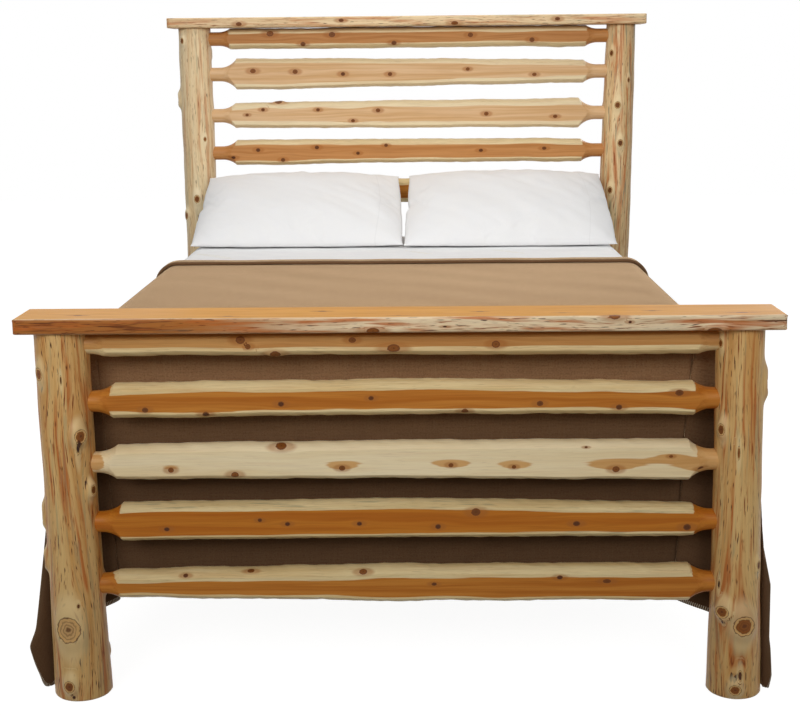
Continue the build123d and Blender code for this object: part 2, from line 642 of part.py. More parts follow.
for side, word in ((-1, "left"), (1, "right")):
    middle = (PILLOW_SHIFT + side * (PILLOW_WIDTH + PILLOW_SPLIT) / 2, pillow_y, pillow_z)
    across = Plane(origin=middle, x_dir=(0, cos(tilt), sin(tilt)), z_dir=(1, 0, 0))
    along = Plane(origin=middle, x_dir=(1, 0, 0), z_dir=(0, -cos(tilt), -sin(tilt)))
    depth_profile = crowned(across, PILLOW_HALF_DEPTH, PILLOW_HALF_LOFT)
    width_profile = crowned(along, PILLOW_WIDTH / 2, PILLOW_END_CROWN)
    with BuildPart() as pillow:
        extrude(depth_profile, amount=PILLOW_WIDTH / 2, both=True)
        extrude(width_profile, amount=PILLOW_HALF_DEPTH, both=True, mode=Mode.INTERSECT)
        split(bisect_by=Plane.XY.offset(SHEET_TOP + SOFT_GAP), keep=Keep.TOP)
    pillow.part.label = f"pillow_{word}"
    export_step(pillow.part, f"parts/pillow_{word}.step")
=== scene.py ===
# A queen-size rustic log bed of peeled cedar, made up with its bedding.
# Everything is in metres: Z up, the floor at 0, the footboard towards -Y.
import math

import bmesh
import bpy
import numpy as np
from mathutils import Matrix, Vector


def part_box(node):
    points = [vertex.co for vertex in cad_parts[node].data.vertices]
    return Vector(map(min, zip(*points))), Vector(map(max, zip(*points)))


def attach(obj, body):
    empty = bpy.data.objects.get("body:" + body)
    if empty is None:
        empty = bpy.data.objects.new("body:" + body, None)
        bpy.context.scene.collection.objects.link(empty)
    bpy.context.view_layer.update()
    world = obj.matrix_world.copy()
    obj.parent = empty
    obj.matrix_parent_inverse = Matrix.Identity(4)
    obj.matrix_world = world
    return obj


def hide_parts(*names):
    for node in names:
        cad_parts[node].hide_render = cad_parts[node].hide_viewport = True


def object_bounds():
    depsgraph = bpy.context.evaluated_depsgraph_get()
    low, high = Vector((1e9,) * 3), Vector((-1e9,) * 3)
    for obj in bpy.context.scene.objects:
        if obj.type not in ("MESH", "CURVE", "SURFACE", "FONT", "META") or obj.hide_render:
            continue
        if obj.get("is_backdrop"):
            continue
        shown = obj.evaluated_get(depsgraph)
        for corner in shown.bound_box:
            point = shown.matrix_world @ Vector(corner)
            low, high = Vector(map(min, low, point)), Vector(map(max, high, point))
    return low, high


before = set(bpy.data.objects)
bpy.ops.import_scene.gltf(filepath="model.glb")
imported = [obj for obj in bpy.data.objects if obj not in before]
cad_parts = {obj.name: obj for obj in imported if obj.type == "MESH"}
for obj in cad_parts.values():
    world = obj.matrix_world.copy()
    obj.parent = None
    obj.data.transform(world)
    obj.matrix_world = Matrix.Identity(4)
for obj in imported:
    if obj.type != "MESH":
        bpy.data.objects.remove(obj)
cad_low, cad_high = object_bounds()


# ------------------------------------------------------------------- log posts
# Four peeled cedar logs, one at each corner. Drawknifed by hand, their branch stubs sawn
# off close, so that each knot stands on a swelling of pale wood. The butts flare a little.


def linear(hex_colour):
    """An sRGB hex colour as linear RGBA."""
    shares = [int(hex_colour[i : i + 2], 16) / 255 for i in (1, 3, 5)]
    return [s / 12.92 if s <= 0.04045 else ((s + 0.055) / 1.055) ** 2.4 for s in shares] + [1.0]


def add_node(tree, kind, inputs={}, gives=0, **settings):
    """Adds a node with its settings, and a link, a hex colour or another value for each
    input named. Returns the output asked for."""
    node = tree.nodes.new("ShaderNode" + kind)
    for setting, value in settings.items():
        setattr(node, setting, value)
    for socket, value in inputs.items():
        if isinstance(value, bpy.types.NodeSocket):
            tree.links.new(value, node.inputs[socket])
        else:
            value = linear(value) if isinstance(value, str) else value
            node.inputs[socket].default_value = value
    return node.outputs[gives] if node.outputs else None


def bare_material(name):
    """A material with no nodes yet, and its node tree."""
    material = bpy.data.materials.new(name)
    material.use_nodes = True
    material.node_tree.nodes.clear()
    return material, material.node_tree


def draw_out(tree, place, streaks, roughness=0.5):
    """Streaky noises by name. Each has its size in mm along X, Y and Z, its detail, and a
    shift that keeps one from lying on another."""
    drawn = {}
    for name, sizes, detail, shift in streaks:
        stretched = add_node(tree, "VectorMath", {
            0: place, 1: [1000 / size for size in sizes], 2: (shift,) * 3,
        }, operation="MULTIPLY_ADD")
        drawn[name] = add_node(tree, "TexNoise", {
            "Vector": stretched, "Scale": 1.0, "Detail": detail, "Roughness": roughness}, "Fac")
    return drawn


def lay_coats(tree, colour, coats):
    """Lays each colour over the last, up to its share, where what drives it goes from low
    to high."""
    for driver, low, high, share, coat in coats:
        amount = add_node(tree, "MapRange", {
            "Value": driver, "From Min": low, "From Max": high, "To Max": share,
        }, "Result", interpolation_type="SMOOTHSTEP")
        colour = add_node(tree, "Mix", {0: amount, 6: colour, 7: coat}, 2, data_type="RGBA")
    return colour


def cedar(name, sap, sap_shade, heart, heart_shade, flecks, grey=0.0, fibre=0.30,
          collar="#A9662C", rim="#7A4520"):
    """Cedar under clear satin varnish: cream sapwood outside an orange heart, with short
    dark resin flecks in orange halos, grey weather streaks, and brown knots with a
    coloured rim inside a collar of altered wood."""
    material, tree = bare_material(name)
    grain, offset, depth, dark, stain = (
        add_node(tree, "Attribute", {}, gives, attribute_name=stored)
        for stored, gives in (("grain", "Vector"), ("knot", "Vector"), ("heart", "Fac"),
                              ("dark", "Fac"), ("stain", "Fac")))
    drawn = draw_out(tree, grain, [
        (streak, (across, across, along), detail, shift)
        for streak, across, along, detail, shift in (
            ("growth band", 24, 550, 3.0, 0.0), ("fibre", 2.2, 75, 2.0, 3.1),
            ("warm streak", 13, 260, 3.0, 7.7), ("fleck", 3.2, 75, 2.0, 5.2),
            ("pitch", 2.8, 34, 1.5, 9.4), ("weather", 11, 160, 3.0, 1.3),
            ("heart band", 11, 600, 3.0, 4.4), ("heart's edge", 7, 150, 2.0, 6.6))], 0.55)
    fleck, pitch, heart_edge = drawn["fleck"], drawn["pitch"], drawn["heart's edge"]

    # The heart's edge is crisp, and wanders a millimetre or two with the rings.
    heart_depth = add_node(tree, "Math", {0: heart_edge, 1: 0.004, 2: depth},
                           operation="MULTIPLY_ADD")
    burnt = add_node(tree, "Math", {0: heart_edge, 1: stain}, operation="MULTIPLY")

    # How far a point is out from a knot's pith, in knot sizes: as the wobbled knot goes, and
    # as the grain round it goes, which is drawn out along the log.
    wobble = add_node(tree, "TexNoise", {"Vector": offset, "Scale": 2.0, "Detail": 3.0}, "Fac")
    reach, flow = (
        add_node(tree, "VectorMath", {
            0: add_node(tree, "VectorMath", {0: offset, 1: shares}, operation="MULTIPLY"),
        }, "Value", operation="LENGTH")
        for shares in ((1, 1, 12), (1.0, 0.42, 2)))
    reach = add_node(tree, "Math", {0: wobble, 1: 0.5, 2: reach}, operation="MULTIPLY_ADD")
    ringed = add_node(tree, "Math", {0: reach, 1: 21.0}, operation="MULTIPLY")
    ringed = add_node(tree, "Math", {0: ringed}, operation="SINE")

    # The heartwood and the knot's face on their own, then all over the sapwood.
    heart = lay_coats(tree, heart, [(drawn["heart band"], 0.34, 0.68, 1.0, heart_shade)])
    knot = lay_coats(tree, "#90541F", [
        (dark, 0.0, -1.0, 1.0, "#DDB377"), (ringed, -0.6, 1.0, 0.5, "#6E3E1A"),
        (dark, 0.0, 1.0, 1.0, "#34180A"), (reach, 0.62, 0.30, 0.8, "#5E3214"),
        (reach, 0.95, 1.05, 1.0, rim)])
    log = lay_coats(tree, sap, [
        (drawn["growth band"], 0.36, 0.66, 0.75, sap_shade),
        (stain, 0.0, 1.0, 0.95, "#AA6216"), (burnt, 0.50, 0.62, 0.9, "#64300E"),
        (drawn["warm streak"], 0.50, 0.66, 0.85 * flecks, "#C0692A"),
        (drawn["weather"], 0.56, 0.68, grey, "#8C8A70"),
        (fleck, 0.58, 0.68, 0.8 * flecks, "#AE5C22"), (fleck, 0.67, 0.71, flecks, "#7A3A14"),
        (pitch, 0.62, 0.68, 0.5 * flecks, "#8E4E1E"), (pitch, 0.68, 0.71, flecks, "#3E1C0C"),
        (heart_depth, 0.0014, 0.0026, 1.0, heart),
        (drawn["fibre"], 0.42, 0.74, 0.45 * fibre, "#6B3C18"),
        (flow, 2.1, 1.0, 0.55, collar), (reach, 1.34, 1.26, 0.9, "#5A3115"),
        (reach, 1.26, 1.18, 1.0, knot)])

    skin = add_node(tree, "Bump", {
        "Height": drawn["fibre"], "Distance": 0.0006, "Strength": 0.35}, "Normal")
    rough = add_node(tree, "MapRange", {
        "Value": drawn["fibre"], "From Min": 0.3, "From Max": 0.8, "To Min": 0.38, "To Max": 0.54,
    }, "Result")
    shader = add_node(tree, "BsdfPrincipled", {
        "Base Color": log, "Roughness": rough, "IOR": 1.5, "Normal": skin,
        "Specular IOR Level": 0.18, "Coat Weight": 0.03, "Coat Roughness": 0.25})
    add_node(tree, "OutputMaterial", {"Surface": shader})
    return material


def mesh_of(work, name):
    """A finished bmesh as a mesh."""
    mesh = bpy.data.meshes.new(name)
    work.to_mesh(mesh)
    work.free()
    return mesh


def corners_of(mesh):
    """Where a mesh's corners are, one row each."""
    places = np.zeros(len(mesh.vertices) * 3)
    mesh.vertices.foreach_get("co", places)
    return places.reshape(-1, 3)


def move_corners(mesh, *places):
    mesh.vertices.foreach_set("co", np.column_stack(places).astype(np.float32).ravel())


def round_blank(around, rings):
    """A closed blank of `around` sides cut into equal rings, and where each of its corners
    is: its place round the blank and along it, each as a share."""
    blank = bmesh.new()
    bmesh.ops.create_cone(blank, cap_ends=True, cap_tris=False, segments=around,
                          radius1=1, radius2=1, depth=1)
    lengths = [e for e in blank.edges if abs(e.verts[0].co.z - e.verts[1].co.z) > 0.5]
    bmesh.ops.subdivide_edges(blank, edges=lengths, cuts=rings - 1)
    mesh = mesh_of(blank, "blank")
    x, y, z = corners_of(mesh).T
    step = np.round(np.arctan2(x, -y) / (2 * math.pi) * around)
    return mesh, step / around, np.round((z + 0.5) * rings) / rings


def ripple(seed, size, *places):
    """Slow waves over a surface, about `size` long, between -1 and 1."""
    chance = np.random.default_rng(seed)
    total = 0
    for _ in range(5):
        first, *turns = chance.uniform(0, 2 * math.pi, len(places) + 1)
        rates = [2 * math.pi / n for n in size * chance.uniform(0.6, 1.7, len(places))]
        total = total + np.sin(first + sum(p * rate for p, rate in zip(places, rates))) * np.cos(
            sum(p * rate / 2.3 + turn for p, rate, turn in zip(places, rates, turns)))
    return total / 3


def knots_over(along, around, girth, knots):
    """What a log's knots do to its skin. A knot is (place along, place round, half width,
    half length, swelling, darkness). Returns each point's offset from its nearest knot in
    knot sizes, how far the grain bends sideways, the swelling, and the darkness."""
    # A point's third offset grows beyond the knot, so that two knots' offsets never meet.
    offset = np.tile([0.0, 0.0, 3.0], (len(along), 1))
    nearest = np.full(len(along), 5.5)
    bend, swelling, darkness = np.zeros((3, len(along)))
    for knot_along, knot_around, half_width, half_length, swell, dark in knots:
        across = around - knot_around
        across -= girth * np.round(across / girth)
        down = along - knot_along
        reach = np.hypot(across / half_width, down / half_length)
        here = reach < nearest
        out = 0.3 * np.maximum(reach - 1.35, 0)
        offset[here] = np.stack([across / half_width, down / half_length, out], 1)[here]
        nearest[here], darkness[here] = reach[here], dark
        width = 1.5 * half_width
        bend -= across * width**2 / (across**2 + (0.3 * down) ** 2 + 0.8 * width**2)
        skirt = np.hypot(across / half_width, down / half_length * np.where(down > 0, 0.8, 1.0))
        swelling += swell * np.exp(-((np.maximum(skirt - 1, 0) / 0.75) ** 2))
        swelling -= 0.12 * swell * (reach < 0.95)
    return offset, bend, swelling, darkness


def store(mesh, name, values):
    """Stores a number or a vector for each corner of a mesh, for its material to read."""
    kind = "FLOAT_VECTOR" if values.ndim == 2 else "FLOAT"
    stored = mesh.attributes.new(name, kind, "POINT")
    stored.data.foreach_set("vector" if values.ndim == 2 else "value",
                            values.astype(np.float32).ravel())


def face_outwards(mesh, *added):
    """Turns a mesh's faces outwards, after it has taken in any meshes added to it."""
    work = bmesh.new()
    for part in (mesh, *added):
        work.from_mesh(part)
    bmesh.ops.recalc_face_normals(work, faces=work.faces)
    work.to_mesh(mesh)
    work.free()


def write_skin(mesh, *places, **stored):
    """Puts a blank's corners in place, and stores what its material reads."""
    move_corners(mesh, *places)
    for name, values in stored.items():
        store(mesh, name, values)
    face_outwards(mesh)


def add_object(name, data):
    """Puts a mesh, a lamp or a camera into the scene."""
    added = bpy.data.objects.new(name, data)
    bpy.context.scene.collection.objects.link(added)
    return added


def put_in(name, mesh, material, body, node, sharp=180):
    """Makes a piece of a finished mesh, in place of its CAD node. Edges sharper than
    `sharp` degrees stay crisp."""
    mesh.name = name
    mesh.shade_smooth()
    if sharp < 180:
        mesh.set_sharp_from_angle(angle=math.radians(sharp))
    mesh.materials.append(material)
    piece = add_object(name, mesh)
    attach(piece, body)
    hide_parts(node)
    return piece


def chance_knots(seed, length, girth):
    """Six small knots scattered over the sides that turn away from the front."""
    chance = np.random.default_rng(seed)
    return [
        (chance.uniform(0.04, 0.96) * length, chance.uniform(0.27, 0.73) * girth, size,
         size * chance.uniform(1.1, 1.5), chance.uniform(0.3, 0.8) * size, chance.uniform(0, 0.8))
        for size in chance.uniform(0.006, 0.012, 6)
    ]


POST_Y = 1.1075
LEFT_FOOT_POST, RIGHT_FOOT_POST = (-0.7895, -0.796), (0.8145, 0.7985)
FOOT_TOP, HEAD_TOP = 0.9095, 1.6505
SIDE_RAIL_X, SIDE_RAIL_END = 0.797, 0.046
SEAT_HALF_WIDTH, SEAT_LOW, SEAT_HIGH = 0.0315, 0.294, 0.446


def make_post(name, floor_x, top_x, y, top, radii, knots, seed, around, ring, material):
    """A log from X = `floor_x` on the floor to `top_x` at its cap. radii are (height, radius)
    pairs. A knot is in mm, but its place round the log is in degrees from the front, to the
    right."""
    mesh, turn, share = round_blank(around, round(top / ring))
    angle, height = turn * 2 * math.pi, share * top
    radius = np.interp(height, *zip(*radii))
    middle = radii[len(radii) // 2][1]
    girth = 2 * math.pi * middle
    placed = [(up / 1000, math.radians(degrees) * middle, *(size / 1000 for size in sizes), dark)
              for up, degrees, *sizes, dark in knots]
    offset, bend, swelling, darkness = knots_over(
        height, angle * middle, girth, placed + chance_knots(seed, top, girth))
    # The log swells slowly, a millimetre in a hand or two, and the drawknife left facets.
    rim = [np.sin(angle) * middle, np.cos(angle) * middle]
    radius = radius + swelling + 0.0011 * ripple(seed, 0.24, *rim, height)
    radius += 0.0004 * ripple(seed + 1, 0.05, *rim, height * 0.3)
    radius -= 0.003 * np.clip(1 - height / 0.004, 0, 1) ** 2
    x = floor_x + (top_x - floor_x) * share + radius * np.sin(angle)
    y_skin = y - radius * np.cos(angle)

    # The flat seat sawn for the side rail's end.
    seat = abs(y) - SIDE_RAIL_END
    seated = ((abs(np.abs(x) - SIDE_RAIL_X) < SEAT_HALF_WIDTH) & (height > SEAT_LOW)
              & (height < SEAT_HIGH) & (np.abs(y_skin) < seat))
    y_skin = np.where(seated, math.copysign(seat, y), y_skin)

    turned = angle + bend / middle
    grain = np.stack([np.sin(turned) * middle + floor_x, np.cos(turned) * middle + y, height], 1)
    write_skin(mesh, x, y_skin, height, grain=grain, knot=offset, dark=darkness,
               heart=np.full(len(x), -0.02))
    put_in(f"{name}_log", mesh, material, "bed", name)


foot_cedar = cedar("peeled cedar log", "#E8C180", "#D09650", "#B9702F", "#A35E24", flecks=1.0,
                   grey=0.35, collar="#F3D9A2", rim="#DDB071")
head_cedar = cedar("pale peeled cedar log", "#F3DDB2", "#E3C494", "#B9702F", "#A35E24",
                   flecks=0.55, grey=0.30, collar="#F5E2BC", rim="#D9B37C")
weathered_cedar = cedar("weathered cedar log", "#EBD0A0", "#D2AE78", "#B9702F", "#A35E24",
                        flecks=0.85, grey=0.8, collar="#EFD6A6", rim="#C99F66")
make_post(
    "footboard_post_left", *LEFT_FOOT_POST, -POST_Y, FOOT_TOP,
    [(0, 0.0698), (0.06, 0.0685), (0.2, 0.066), (0.39, 0.064), (0.52, 0.0627), (0.72, 0.0636),
     (0.91, 0.063)],
    [(812, -42, 12, 15, 5, 0.05), (800, 8, 2.5, 11, 0, 0.6), (664, 38, 13, 16, 12, 0.05),
     (640, 34, 5, 22, 2, 0.95), (527, 60, 8, 12, 12, 0.35), (455, -84, 10, 20, 9, 0.3),
     (345, -76, 9, 16, 9, 0.15), (186, -8, 25, 31, 9, -0.8), (245, 14, 4, 6, 1, 0.6),
     (41, -12, 11, 14, 9, 0.25), (12, -6, 4.5, 6, 0, 0.9)],
    seed=11, around=116, ring=0.0035, material=foot_cedar)
make_post(
    "footboard_post_right", *RIGHT_FOOT_POST, -POST_Y, FOOT_TOP,
    [(0, 0.066), (0.06, 0.0645), (0.2, 0.0608), (0.39, 0.0574), (0.54, 0.0565), (0.73, 0.0562),
     (0.91, 0.0564)],
    [(872, -60, 7, 10, 4, 0.15), (771, 84, 12, 24, 10, 0.3), (668, -50, 9, 14, 9, 0.25),
     (615, -10, 3.5, 16, 1, 0.1), (334, 46, 6, 11, 6, 0.5), (284, -52, 3.5, 11, 0, 0.95),
     (222, -36, 13, 14, 13, 0.1), (196, -36, 3.5, 6, 3, 0.95), (189, 8, 21.5, 23.5, 9, 0),
     (62, 2, 5, 13, 2, 0.75), (28, -8, 11, 12, 11, 0.2)],
    seed=23, around=112, ring=0.0035, material=foot_cedar)
make_post(
    "headboard_post_left", -0.791, -0.798, POST_Y, HEAD_TOP,
    [(0, 0.062), (0.5, 0.0615), (1.1, 0.0606), (1.3, 0.0612), (HEAD_TOP, 0.0602)],
    [(1604, -38, 8, 11, 6, 0.35), (1386, -84, 11, 18, 11, 0.2), (1015, -6, 11, 15, 5, 0.3),
     (950, -52, 10, 14, 8, 0.2), (1240, 30, 6, 9, 2, 0.2)],
    seed=37, around=96, ring=0.0045, material=head_cedar)
make_post(
    "headboard_post_right", 0.780, 0.805, POST_Y, HEAD_TOP,
    [(0, 0.060), (0.6, 0.060), (1.1, 0.0592), (1.26, 0.0580), (HEAD_TOP, 0.0536)],
    [(1545, -40, 9, 12, 4, 0.5), (1446, 30, 6, 10, 3, 0.5), (1354, -9, 11, 13, 5, 0.4),
     (1213, 5, 10, 13, 5, 0.55), (1036, -25, 9, 13, 5, 0.5)],
    seed=41, around=96, ring=0.0045, material=weathered_cedar)


# ------------------------------------------------------------------- log rails
# Small cedar logs sawn flat front and back. A tenon cutter has turned each end down to a
# round tenon with a hollow shoulder, and the tenons are glued into the posts' mortises.
HALF_THICK = 0.033
TENON_RADIUS, CUTTER_RADIUS = 0.0254, 0.078
TENON_LENGTH, SHOULDER = 0.074, 0.064
FACE_STEPS, EDGE_STEPS = 18, 22


def make_rail(name, beside, axis, heights, rise, sap, knots, seed, gap, material,
              ring=0.0046, waves=0.0022, lens=0.0, along="X", thick=HALF_THICK, log=0.044):
    """A sawn log rail along X with turned ends, its middle plane at Y = `beside`, or along Y
    at X = `beside` with plain ends. heights are those at its two ends and middle; sap is the
    thickness of the sapwood above and below. A knot is in mm, and its place is its distance
    along and its height above the axis."""
    low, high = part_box(name)
    turned = along == "X"
    if turned:
        left, right = low.x + TENON_LENGTH + gap, high.x - TENON_LENGTH - gap
        inner_left, inner_right = left + SHOULDER, right - SHOULDER
        stations = np.concatenate([
            np.linspace(low.x, left - 0.002, 4), np.arange(left, inner_left, 0.0021),
            np.linspace(inner_left, inner_right, round((inner_right - inner_left) / ring)),
            np.arange(right, inner_right, -0.0021)[::-1], np.linspace(right + 0.002, high.x, 4)])
    else:
        left, right = low.y, high.y
        stations = np.linspace(left, right, round((right - left) / ring))
    around = 2 * (FACE_STEPS + EDGE_STEPS)
    mesh, turn, share = round_blank(around, len(stations) - 1)
    x = stations[np.round(share * (len(stations) - 1)).astype(int)]
    step = np.mod(np.round(turn * around), around)

    # The natural top and bottom edges wander.
    part = (x - left) / (right - left)
    height = np.interp(part, [0, 0.5, 1], heights)
    lift = rise * (1 - (2 * part - 1) ** 2)
    top = lift + height / 2 + waves * ripple(seed, 0.42, x)
    bottom = lift - height / 2 + waves * ripple(seed + 1, 0.36, x)
    round_edge = np.maximum(height / 2, log)
    sag = round_edge - np.sqrt(round_edge**2 - thick**2)
    high_arris, low_arris = top - sag, bottom + sag
    half_turn = np.arcsin(thick / round_edge)
    over = 2 * round_edge * half_turn

    # Round the section: up the front face, over the top, down the back, and under.
    starts = np.array([0, FACE_STEPS, FACE_STEPS + EDGE_STEPS, around - EDGE_STEPS])
    side = np.searchsorted(starts, step, "right") - 1
    sawn, sign = side % 2 == 0, np.where(side < 2, 1, -1)
    s = (step - starts[side]) / np.where(sawn, FACE_STEPS, EDGE_STEPS)
    swing = (2 * s - 1) * half_turn * sign
    centre = np.where(side == 1, top - round_edge, bottom + round_edge)
    start, finish = np.where(side == 0, [low_arris, high_arris], [high_arris, low_arris])
    z = np.where(sawn, start + s * (finish - start), centre + sign * round_edge * np.cos(swing))
    depth_y = np.where(sawn, -sign * thick, round_edge * np.sin(swing))
    walked = round_edge * (swing + half_turn)
    length_round = np.choose(side, [
        z, high_arris + walked, 2 * high_arris + over - z, low_arris - walked])
    natural = np.where(sawn, 0, np.clip(4 * s * (1 - s), 0, 1) ** 0.5)
    out_y, out_z = np.where(sawn, [-sign, 0 * sign], [np.sin(swing), sign * np.cos(swing)])

    knots = [(*(size / 1000 for size in sizes), dark) for *sizes, dark in knots]
    around_whole = float(np.mean(2 * (high_arris - low_arris) + 2 * over))
    offset, bend, swelling, darkness = knots_over(
        x, length_round, around_whole, [(k[0], k[1], k[3], k[2], *k[4:]) for k in knots])
    out = natural * (swelling + 0.0011 * ripple(seed + 2, 0.07, x, length_round))
    depth_y, z = depth_y + out * out_y, z + out * out_z
    if turned:
        run = np.minimum(x - left, right - x)
        hollow = CUTTER_RADIUS**2 - np.maximum(run, 0) ** 2
        cut = TENON_RADIUS + np.where(
            run <= 0, 0, CUTTER_RADIUS - np.sqrt(np.maximum(hollow, 0)))
        cut = np.where(run > CUTTER_RADIUS, 1.0, cut)
        shrink = np.minimum(cut / np.hypot(depth_y, z), 1)
        depth_y, z = depth_y * shrink, z * shrink

    # How far each point is below the log's own bark, less the sapwood's thickness. The
    # heart shows as a lens round each knot.
    centre = np.where(z > 0, top - round_edge, bottom + round_edge)
    beyond = np.where(z > 0, np.maximum(z - centre, 0), np.minimum(z - centre, 0))
    upper = np.clip(z / 0.03 + 0.5, 0, 1)
    heart = (round_edge - np.hypot(depth_y, beyond) - sap[1] - (sap[0] - sap[1]) * upper
             + 0.0012 * ripple(seed + 3, 0.5, x))
    for knot_x, knot_z, half_long, half_high, *_ in knots:
        heart += (lens + 0.12 * half_long) * np.exp(
            -(((x - knot_x) / (0.030 + 3.4 * half_long)) ** 2)
            - ((length_round - knot_z - 0.2 * half_high) / (0.004 + 2.2 * half_high)) ** 2)
    heart = np.clip(heart, -0.03, 0.03)

    grain = np.stack([depth_y + out_z * bend + beside, z - out_y * bend + axis, x], 1)
    across = beside + (depth_y if turned else -math.copysign(1, beside) * depth_y)
    write_skin(mesh, *([x, across] if turned else [across, x]), axis + z, grain=grain,
               knot=offset, dark=darkness, heart=heart)
    put_in(f"{name}_log", mesh, material, "bed",
           name, sharp=28)


tan_cedar = cedar("tan cedar rail", "#EED6A2", "#DEBE86", "#CF9A5A", "#BD8346", flecks=0.15)
orange_cedar = cedar("orange cedar rail", "#F3DCA8", "#E3C286", "#CC8434", "#B66A20", flecks=0.12)
pale_cedar = cedar("pale cedar rail", "#FCE9C0", "#F0D6A4", "#DFAE70", "#D29C5C", flecks=0.06,
                   fibre=0.16)
red_cedar = cedar("red cedar rail", "#EFD8A4", "#D9BC84", "#CA7E28", "#B8681A", flecks=0.12,
                  grey=0.5)
light_cedar = cedar("light cedar rail", "#EEDAB2", "#E0C89C", "#E2BC90", "#D3A672", flecks=0.1,
                    fibre=0.2)
brown_cedar = cedar("brown cedar rail", "#EAD5A8", "#DCC292", "#C98F55", "#B87B42", flecks=0.12)

make_rail(
    "footboard_rail_1", -POST_Y, 0.8755, (0.057, 0.062, 0.066), 0.0, (-0.020, 0.018),
    [(-369, 12, 10, 9, 1, 0.2), (-352, -4, 6, 6, 0, 0.3), (-108, 10, 8, 6, 0, 0.3),
     (-12, -10, 14, 9, 2, 0.15), (226, -2, 9, 8, 0, 0.1), (-289, -26, 12, 10, 4, 0.2)],
    seed=101, gap=0.006, material=tan_cedar, lens=0.002)
make_rail(
    "footboard_rail_2", -POST_Y, 0.7355, (0.086, 0.084, 0.079), 0.007, (0.0035, 0.0035),
    [(-599, -15, 7, 6, 0, 0.5), (-456, -28, 8, 8, 1, 0.8), (-278, -2, 7, 6, 0, 0.7),
     (-66, 11, 6, 5, 0, 0.6), (154, -24, 8, 8, 0, 0.35), (330, -4, 7, 6, 0, 0.5),
     (515, -14, 7, 6, 0, 0.6), (655, 20, 9, 7, 0, 0.5)],
    seed=113, gap=0.006, material=orange_cedar)
make_rail(
    "footboard_rail_3", -POST_Y, 0.5855, (0.083, 0.092, 0.098), 0.004, (0.015, 0.016),
    [(-544, -12, 6.5, 6, 0, 0.2), (-392, -25, 8.5, 7.5, 0, 0.1), (-137, -9, 7, 6, 0, 0.35),
     (121, -3, 5.5, 5, 0, 0.3), (270, -8, 5, 4.5, 0, 0.3), (511, -15, 8, 7, 0, 0.2),
     (640, 16, 4.5, 3.5, 0, 0.2), (711, -16, 7, 4.5, 0, 0.55), (-281, 46, 12, 10, 6, 0.25),
     (440, 40, 4, 3, 0, 0.5)],
    seed=127, gap=0.006, material=pale_cedar, lens=0.006)
make_rail(
    "footboard_rail_4", -POST_Y, 0.4365, (0.093, 0.095, 0.079), 0.006, (0.0022, 0.0030),
    [(-560, -10, 6.5, 5, 0, 0.75), (-336, 12, 5, 4.5, 0, 0.6), (-270, 2, 6, 5, 0, 0.75),
     (-98, 2, 6, 5, 0, 0.75), (90, -6, 6.5, 6, 0, 0.7), (180, 30, 10, 9, 1, 0.4),
     (420, 0, 8, 6, 0, 0.65), (683, -10, 8.5, 7.5, 0, 0.65)],
    seed=131, gap=0.006, material=red_cedar)
make_rail(
    "footboard_rail_5", -POST_Y, 0.2795, (0.068, 0.091, 0.090), 0.0, (0.006, 0.003),
    [(-91, 38, 9, 7, 2, 0.2), (382, 22, 7, 5, 0, 0.75), (495, 12, 9, 5, 0, 0.45),
     (80, 6, 6, 4, 0, 0.55), (-363, 43, 8, 6, 2, 0.35), (-520, 30, 6, 5, 2, 0.6)],
    seed=149, gap=0.006, material=orange_cedar, waves=0.0026)
make_rail(
    "headboard_rail_1", POST_Y, 1.6105, (0.076, 0.077, 0.078), 0.0, (0.004, 0.0030),
    [(-510, 18, 12, 10, 0, 0.2), (-278, 12, 11, 9, 0, 0.3), (-387, -22, 9, 8, 2, 0.45),
     (-46, -21, 9, 8, 2, 0.5), (240, 6, 9, 8, 0, 0.3), (470, -14, 9, 8, 0, 0.4)],
    seed=163, gap=0.030, material=brown_cedar, ring=0.006)
make_rail(
    "headboard_rail_2", POST_Y, 1.4795, (0.118, 0.103, 0.084), 0.002, (0.0050, 0.0075),
    [(-578, 12, 10, 8, 0, 0.25), (-419, 8, 9, 8, 0, 0.35), (-239, -2, 8, 7, 0, 0.6),
     (-62, -4, 8, 7, 0, 0.45), (230, 12, 7, 6, 0, 0.3), (480, -10, 8, 6, 0, 0.3)],
    seed=173, gap=0.030, material=light_cedar, ring=0.006, lens=0.002)
make_rail(
    "headboard_rail_3", POST_Y, 1.3255, (0.093, 0.104, 0.108), 0.001, (0.0095, 0.0095),
    [(-544, 22, 7, 6, 0, 0.5), (-336, 20, 7, 6, 0, 0.5), (-109, 16, 8, 7, 0, 0.35),
     (-605, 3, 6, 5, 0, 0.4), (-204, -22, 7, 6, 0, 0.4), (-486, 56, 13, 11, 6, 0.3),
     (300, 0, 8, 7, 0, 0.3), (560, -12, 8, 6, 0, 0.4)],
    seed=181, gap=0.030, material=light_cedar, ring=0.006, lens=0.004)
make_rail(
    "headboard_rail_4", POST_Y, 1.1845, (0.097, 0.090, 0.086), 0.004, (0.004, 0.003),
    [(-662, -16, 8, 6, 0, 0.7), (-567, 12, 8, 7, 0, 0.6), (-343, 20, 8, 7, 0, 0.6),
     (-473, -26, 8, 7, 0, 0.5), (-187, -3, 7, 6, 0, 0.6), (-80, 26, 7, 6, 0, 0.5),
     (280, 4, 8, 6, 0, 0.6), (520, 10, 8, 6, 0, 0.5)],
    seed=191, gap=0.030, material=brown_cedar, ring=0.006)
make_rail(
    "headboard_rail_5", POST_Y, 1.0375, (0.092, 0.092, 0.090), 0.0, (0.006, 0.004),
    [(-300, 10, 9, 8, 0, 0.5), (250, -12, 9, 7, 0, 0.4)],
    seed=193, gap=0.030, material=orange_cedar, ring=0.010)
